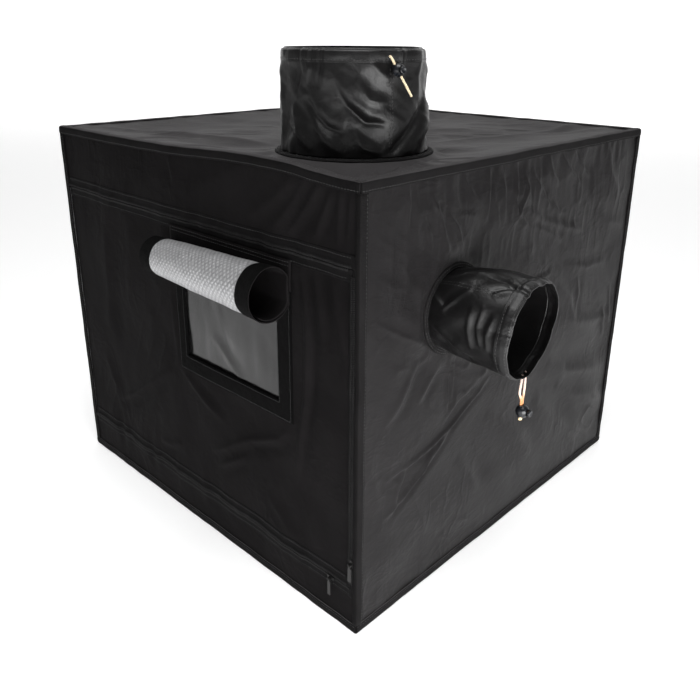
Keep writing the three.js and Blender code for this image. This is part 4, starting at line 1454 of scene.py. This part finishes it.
def lathe_mesh(profile, sides=40):
    """A turned solid about the x axis from (distance along x, radius) pairs."""
    points = [(x, r * math.cos(a), r * math.sin(a)) for x, r in profile for a in circle(sides)]
    faces = []
    for i in range(len(profile) - 1):
        for j in range(sides):
            k = (j + 1) % sides
            faces.append((i * sides + j, (i + 1) * sides + j, (i + 1) * sides + k, i * sides + k))
    points += [(profile[0][0], 0, 0), (profile[-1][0], 0, 0)]
    last = (len(profile) - 1) * sides
    for j in range(sides):
        k = (j + 1) % sides
        faces += [(len(points) - 2, j, k), (len(points) - 1, last + k, last + j)]
    return np.array(points), faces


def ball_lock(name, centre, radius, turn, body, button_body, slot_half):
    """A ball cord lock: a turned ball with a collar, lips round the cord slot, and a push button."""
    profile = []
    # The ball's outline, with a fine moulding line round it, up to the collar of its button's hole.
    collar_angle, line_angle, line_deep = 0.62, 1.9, 0.25
    for a in np.linspace(math.pi, collar_angle, 26):
        groove = line_deep * math.exp(-(((a - line_angle) / 0.05) ** 2))
        profile.append((radius * math.cos(a), (radius - groove) * math.sin(a)))
    rim = profile[-1]
    mouth = [(rim[0] + 0.4, rim[1] - 0.1), (rim[0] + 0.5, 4.45), (rim[0] - 0.6, 4.3)]
    profile += mouth + [(LOCK_FLOOR, 4.25), (LOCK_FLOOR, 0.01)]
    points, faces = lathe_mesh(profile)
    spin = np.array(turn)[:3, :3]

    def lock_piece(part, points, faces, on, nodes):
        obj = new_object(f"{name}_lock_{part}", points @ spin.T + centre, faces)
        finished(obj, on, nodes, (LOCK,))

    lock_piece("ball", points, faces, body, (f"{name}_lock",))
    lips = []
    for sign in (-1, 1):
        ring = circle(24)
        middle = np.stack([-CORD_BACK + 2.3 * np.cos(ring), (slot_half + 0.5) * np.sin(ring),
                           np.full(24, sign * (radius - 0.9))], -1)
        lips.append(ring_tube(middle, 0.55))
    lip_points = np.concatenate([p for p, _ in lips])
    lip_faces = lips[0][1] + [tuple(i + len(lips[0][0]) for i in f) for f in lips[1][1]]
    lock_piece("lips", lip_points, lip_faces, body, ())
    front = radius * 0.62 + 6
    press = [(front - 6, 0.01), (front - 6, 3.8), (front - 0.9, 3.85), (front - 0.25, 3.6), (front, 3.1),
             (front - 0.15, 2.4), (front - 0.5, 1.4), (front - 0.6, 0.01)]
    points, faces = lathe_mesh(press)
    lock_piece("press", points, faces, button_body, (f"{name}_lock_button",))


def ring_tube(middle, radius, sides=8):
    """A thin tube round a closed line that lies level."""
    n = len(middle)
    ahead = np.roll(middle, -1, 0) - np.roll(middle, 1, 0)
    ahead /= np.linalg.norm(ahead, axis=1, keepdims=True)
    up = np.array([0.0, 0.0, 1.0])
    side = np.cross(ahead, up)
    points, faces = [], []
    for i in range(n):
        for j in range(sides):
            a = 2 * math.pi * j / sides
            points.append(middle[i] + radius * (math.cos(a) * side[i] + math.sin(a) * up))
            k, m = (i + 1) % n, (j + 1) % sides
            faces.append((i * sides + j, k * sides + j, k * sides + m, i * sides + m))
    return np.array(points), faces


def side_cords():
    """Two strands that hang from the side hem into one ball lock."""
    x = HALF + SIDE["root"] + SIDE["long"] + SIDE["hem"] / 2
    end = (SIDE["long"] + SIDE["hem"] / 2) / (SIDE["long"] + SIDE["hem"])

    def under_hem(across):
        """The height of a cord's upper end, just inside the hem's underside."""
        angle = math.atan2(-SIDE["mouth"], across - SIDE_Y)
        reach = float(sleeve_radius(SIDE, end, angle)) * math.sin(angle)
        return SIDE_Z - SIDE["droop"] * end * end + reach + 0.6

    y = SIDE_Y + 2.5
    a, b = y + 1.6, y - 1.6
    routes = {
        "side_cord_a": [(a + 1.5, under_hem(a + 1.5)), (a + 1.2, 290), (a, 280), (a, 268), (a, 254)],
        "side_cord_b": [(b - 1.5, under_hem(b - 1.5)), (b - 4.5, 290), (b, 280), (b, 268), (b, 255)],
    }
    ball_lock("side", (x + CORD_BACK, y, 266), 7.5, Matrix(), "side_lock", "side_button", 3.5)
    for name, points in routes.items():
        points = [(x, *p) for p in points]
        obj, long, leave = cord_piece(name + "_braid", name, points, "side_mouth", CORD_SIDE)
        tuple(leave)


def top_cords():
    """One cord that comes out of the top hem and runs down to the right through its ball lock."""
    turn, lean = math.radians(-17), math.radians(33.7)
    hem_low = HIGH + TOP["root"] + TOP["long"] + 0.3
    end = (TOP["long"] + 4) / (TOP["long"] + TOP["hem"])
    face = float(sleeve_radius(TOP, end, turn))
    out = face + 1.5 + 7
    ball_z = hem_low - 8

    def at(r, right, z):
        return (TOP_X + r * math.cos(turn) - right * math.sin(turn),
                TOP_Y + r * math.sin(turn) + right * math.cos(turn), z)

    def along(d):
        return at(out - CORD_BACK, d * math.sin(lean), ball_z - d * math.cos(lean))

    points = [at(face + 2.4, -7.4, hem_low + 5.4), at(out - CORD_BACK - 2, -7.2, hem_low + 4.4),
              along(-9.6), along(0), along(33)]
    place = Matrix.Rotation(turn, 4, "Z") @ Matrix.Rotation(lean, 4, "X")
    ball_lock("top", at(out, 0, ball_z), 7.0, place, "top_lock", "top_button", 1.9)
    obj, long, leave = cord_piece("top_cord_braid", "top_cord", points, "top_mouth", CORD)
    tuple(leave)


# ---- CAD nodes that keep their own shape ----

def hard_parts():
    """New materials for the frame, its joints, the sliders and their pulls."""
    for name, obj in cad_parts.items():
        if name.startswith(("rail_", "post_")):
            dress(obj, TUBE, 0.0)
        elif name.startswith("joint_"):
            dress(obj, JOINT, 0.4)
        elif name.startswith(("zip_slider", "zip_pull")):
            dress(obj, ZIP_METAL, 0.22)


def dress(obj, material, bevel):
    """Gives a CAD node a material, smooth shading and, if bevel is set, edges rounded by so many mm."""
    obj.data.materials.clear()
    obj.data.materials.append(material)
    obj.data.polygons.foreach_set("use_smooth", [True] * len(obj.data.polygons))
    obj.data.set_sharp_from_angle(angle=math.radians(32))
    if bevel:
        modifier = obj.modifiers.new("edges", "BEVEL")
        modifier.width = bevel * MM
        modifier.segments = 2
        modifier.limit_method = "ANGLE"
        modifier.angle_limit = math.radians(40)


# ---- The studio ----

def camera():
    """The photograph's viewpoint, as solved from the corners of the three faces seen."""
    data = bpy.data.cameras.new("camera")
    data.lens = 37.56
    data.sensor_width = 36
    data.shift_y = -0.08
    data.clip_end = 50
    obj = bpy.data.objects.new("camera", data)
    azimuth, elevation, roll = math.radians(43.94), math.radians(19.47), math.radians(0.39)
    back = Vector((math.sin(azimuth) * math.cos(elevation), -math.cos(azimuth) * math.cos(elevation),
                   math.sin(elevation)))
    right = Vector((math.cos(azimuth), math.sin(azimuth), 0))
    up = back.cross(right)
    right, up = right * math.cos(roll) + up * math.sin(roll), up * math.cos(roll) - right * math.sin(roll)
    turn = Matrix((right, up, back)).transposed().to_4x4()
    place = (0.7540, -0.7844, 0.6496)
    obj.matrix_world = Matrix.Translation(place) @ turn
    bpy.context.scene.collection.objects.link(obj)
    bpy.context.scene.camera = obj


def area_light(name, place, target, size, power):
    data = bpy.data.lights.new(name, "AREA")
    data.energy = power
    data.size = size
    obj = bpy.data.objects.new(name, data)
    obj.location = place
    obj.rotation_mode = "QUATERNION"
    obj.rotation_quaternion = (Vector(target) - Vector(place)).to_track_quat("-Z", "Y")
    bpy.context.scene.collection.objects.link(obj)


def studio_sheet(name, points, colour, glow):
    """A plain pale surface of the studio, lit and glowing a little so that it stays near white."""
    n = Nodes(name)
    n.set(Base_Color=colour, Roughness=0.8, Emission_Color=(1, 1, 1), Emission_Strength=glow)
    sheet = new_object(name, points, [(0, 1, 2, 3)], smooth=False)
    sheet.data.materials.append(n.material)


def studio():
    """A pale floor and back sheet, a dim white world and three soft lights."""
    far, low = 7000, -1
    near_end, far_end = (-far, 600), (1400, far)
    studio_sheet("studio_floor", [(-far, -far, low), (far, -far, low), (far, far, low), (-far, far, low)],
                 (0.85, 0.85, 0.85), 0.44)
    studio_sheet("studio_back", [(*near_end, low), (*far_end, low), (*far_end, far), (*near_end, far)],
                 (0.5, 0.5, 0.5), 0.95)
    world = bpy.data.worlds.new("studio_world")
    bpy.context.scene.world = world
    world.use_nodes = True
    background = world.node_tree.nodes["Background"].inputs
    background["Color"].default_value = (1, 1, 1, 1)
    background["Strength"].default_value = 0.16
    area_light("key", (1.05, -0.55, 0.06), (0.3, -0.16, 0.0), 0.8, 21)
    area_light("fill", (0.4, -1.35, 0.06), (0.12, -0.3, 0.0), 0.9, 4)
    area_light("overhead", (0.4, -0.5, 2.4), (0.15, 0, 0.5), 1.3, 34)


bpy.context.scene.view_settings.view_transform = "Standard"
bpy.context.scene.view_settings.look = "None"
camera()
side_cords()
top_cords()
cover_panels()
bindings()
zip_half(1)
zip_half(-1)
door()
flap_roll()
flap_hang()
ducts()
hard_parts()
studio()
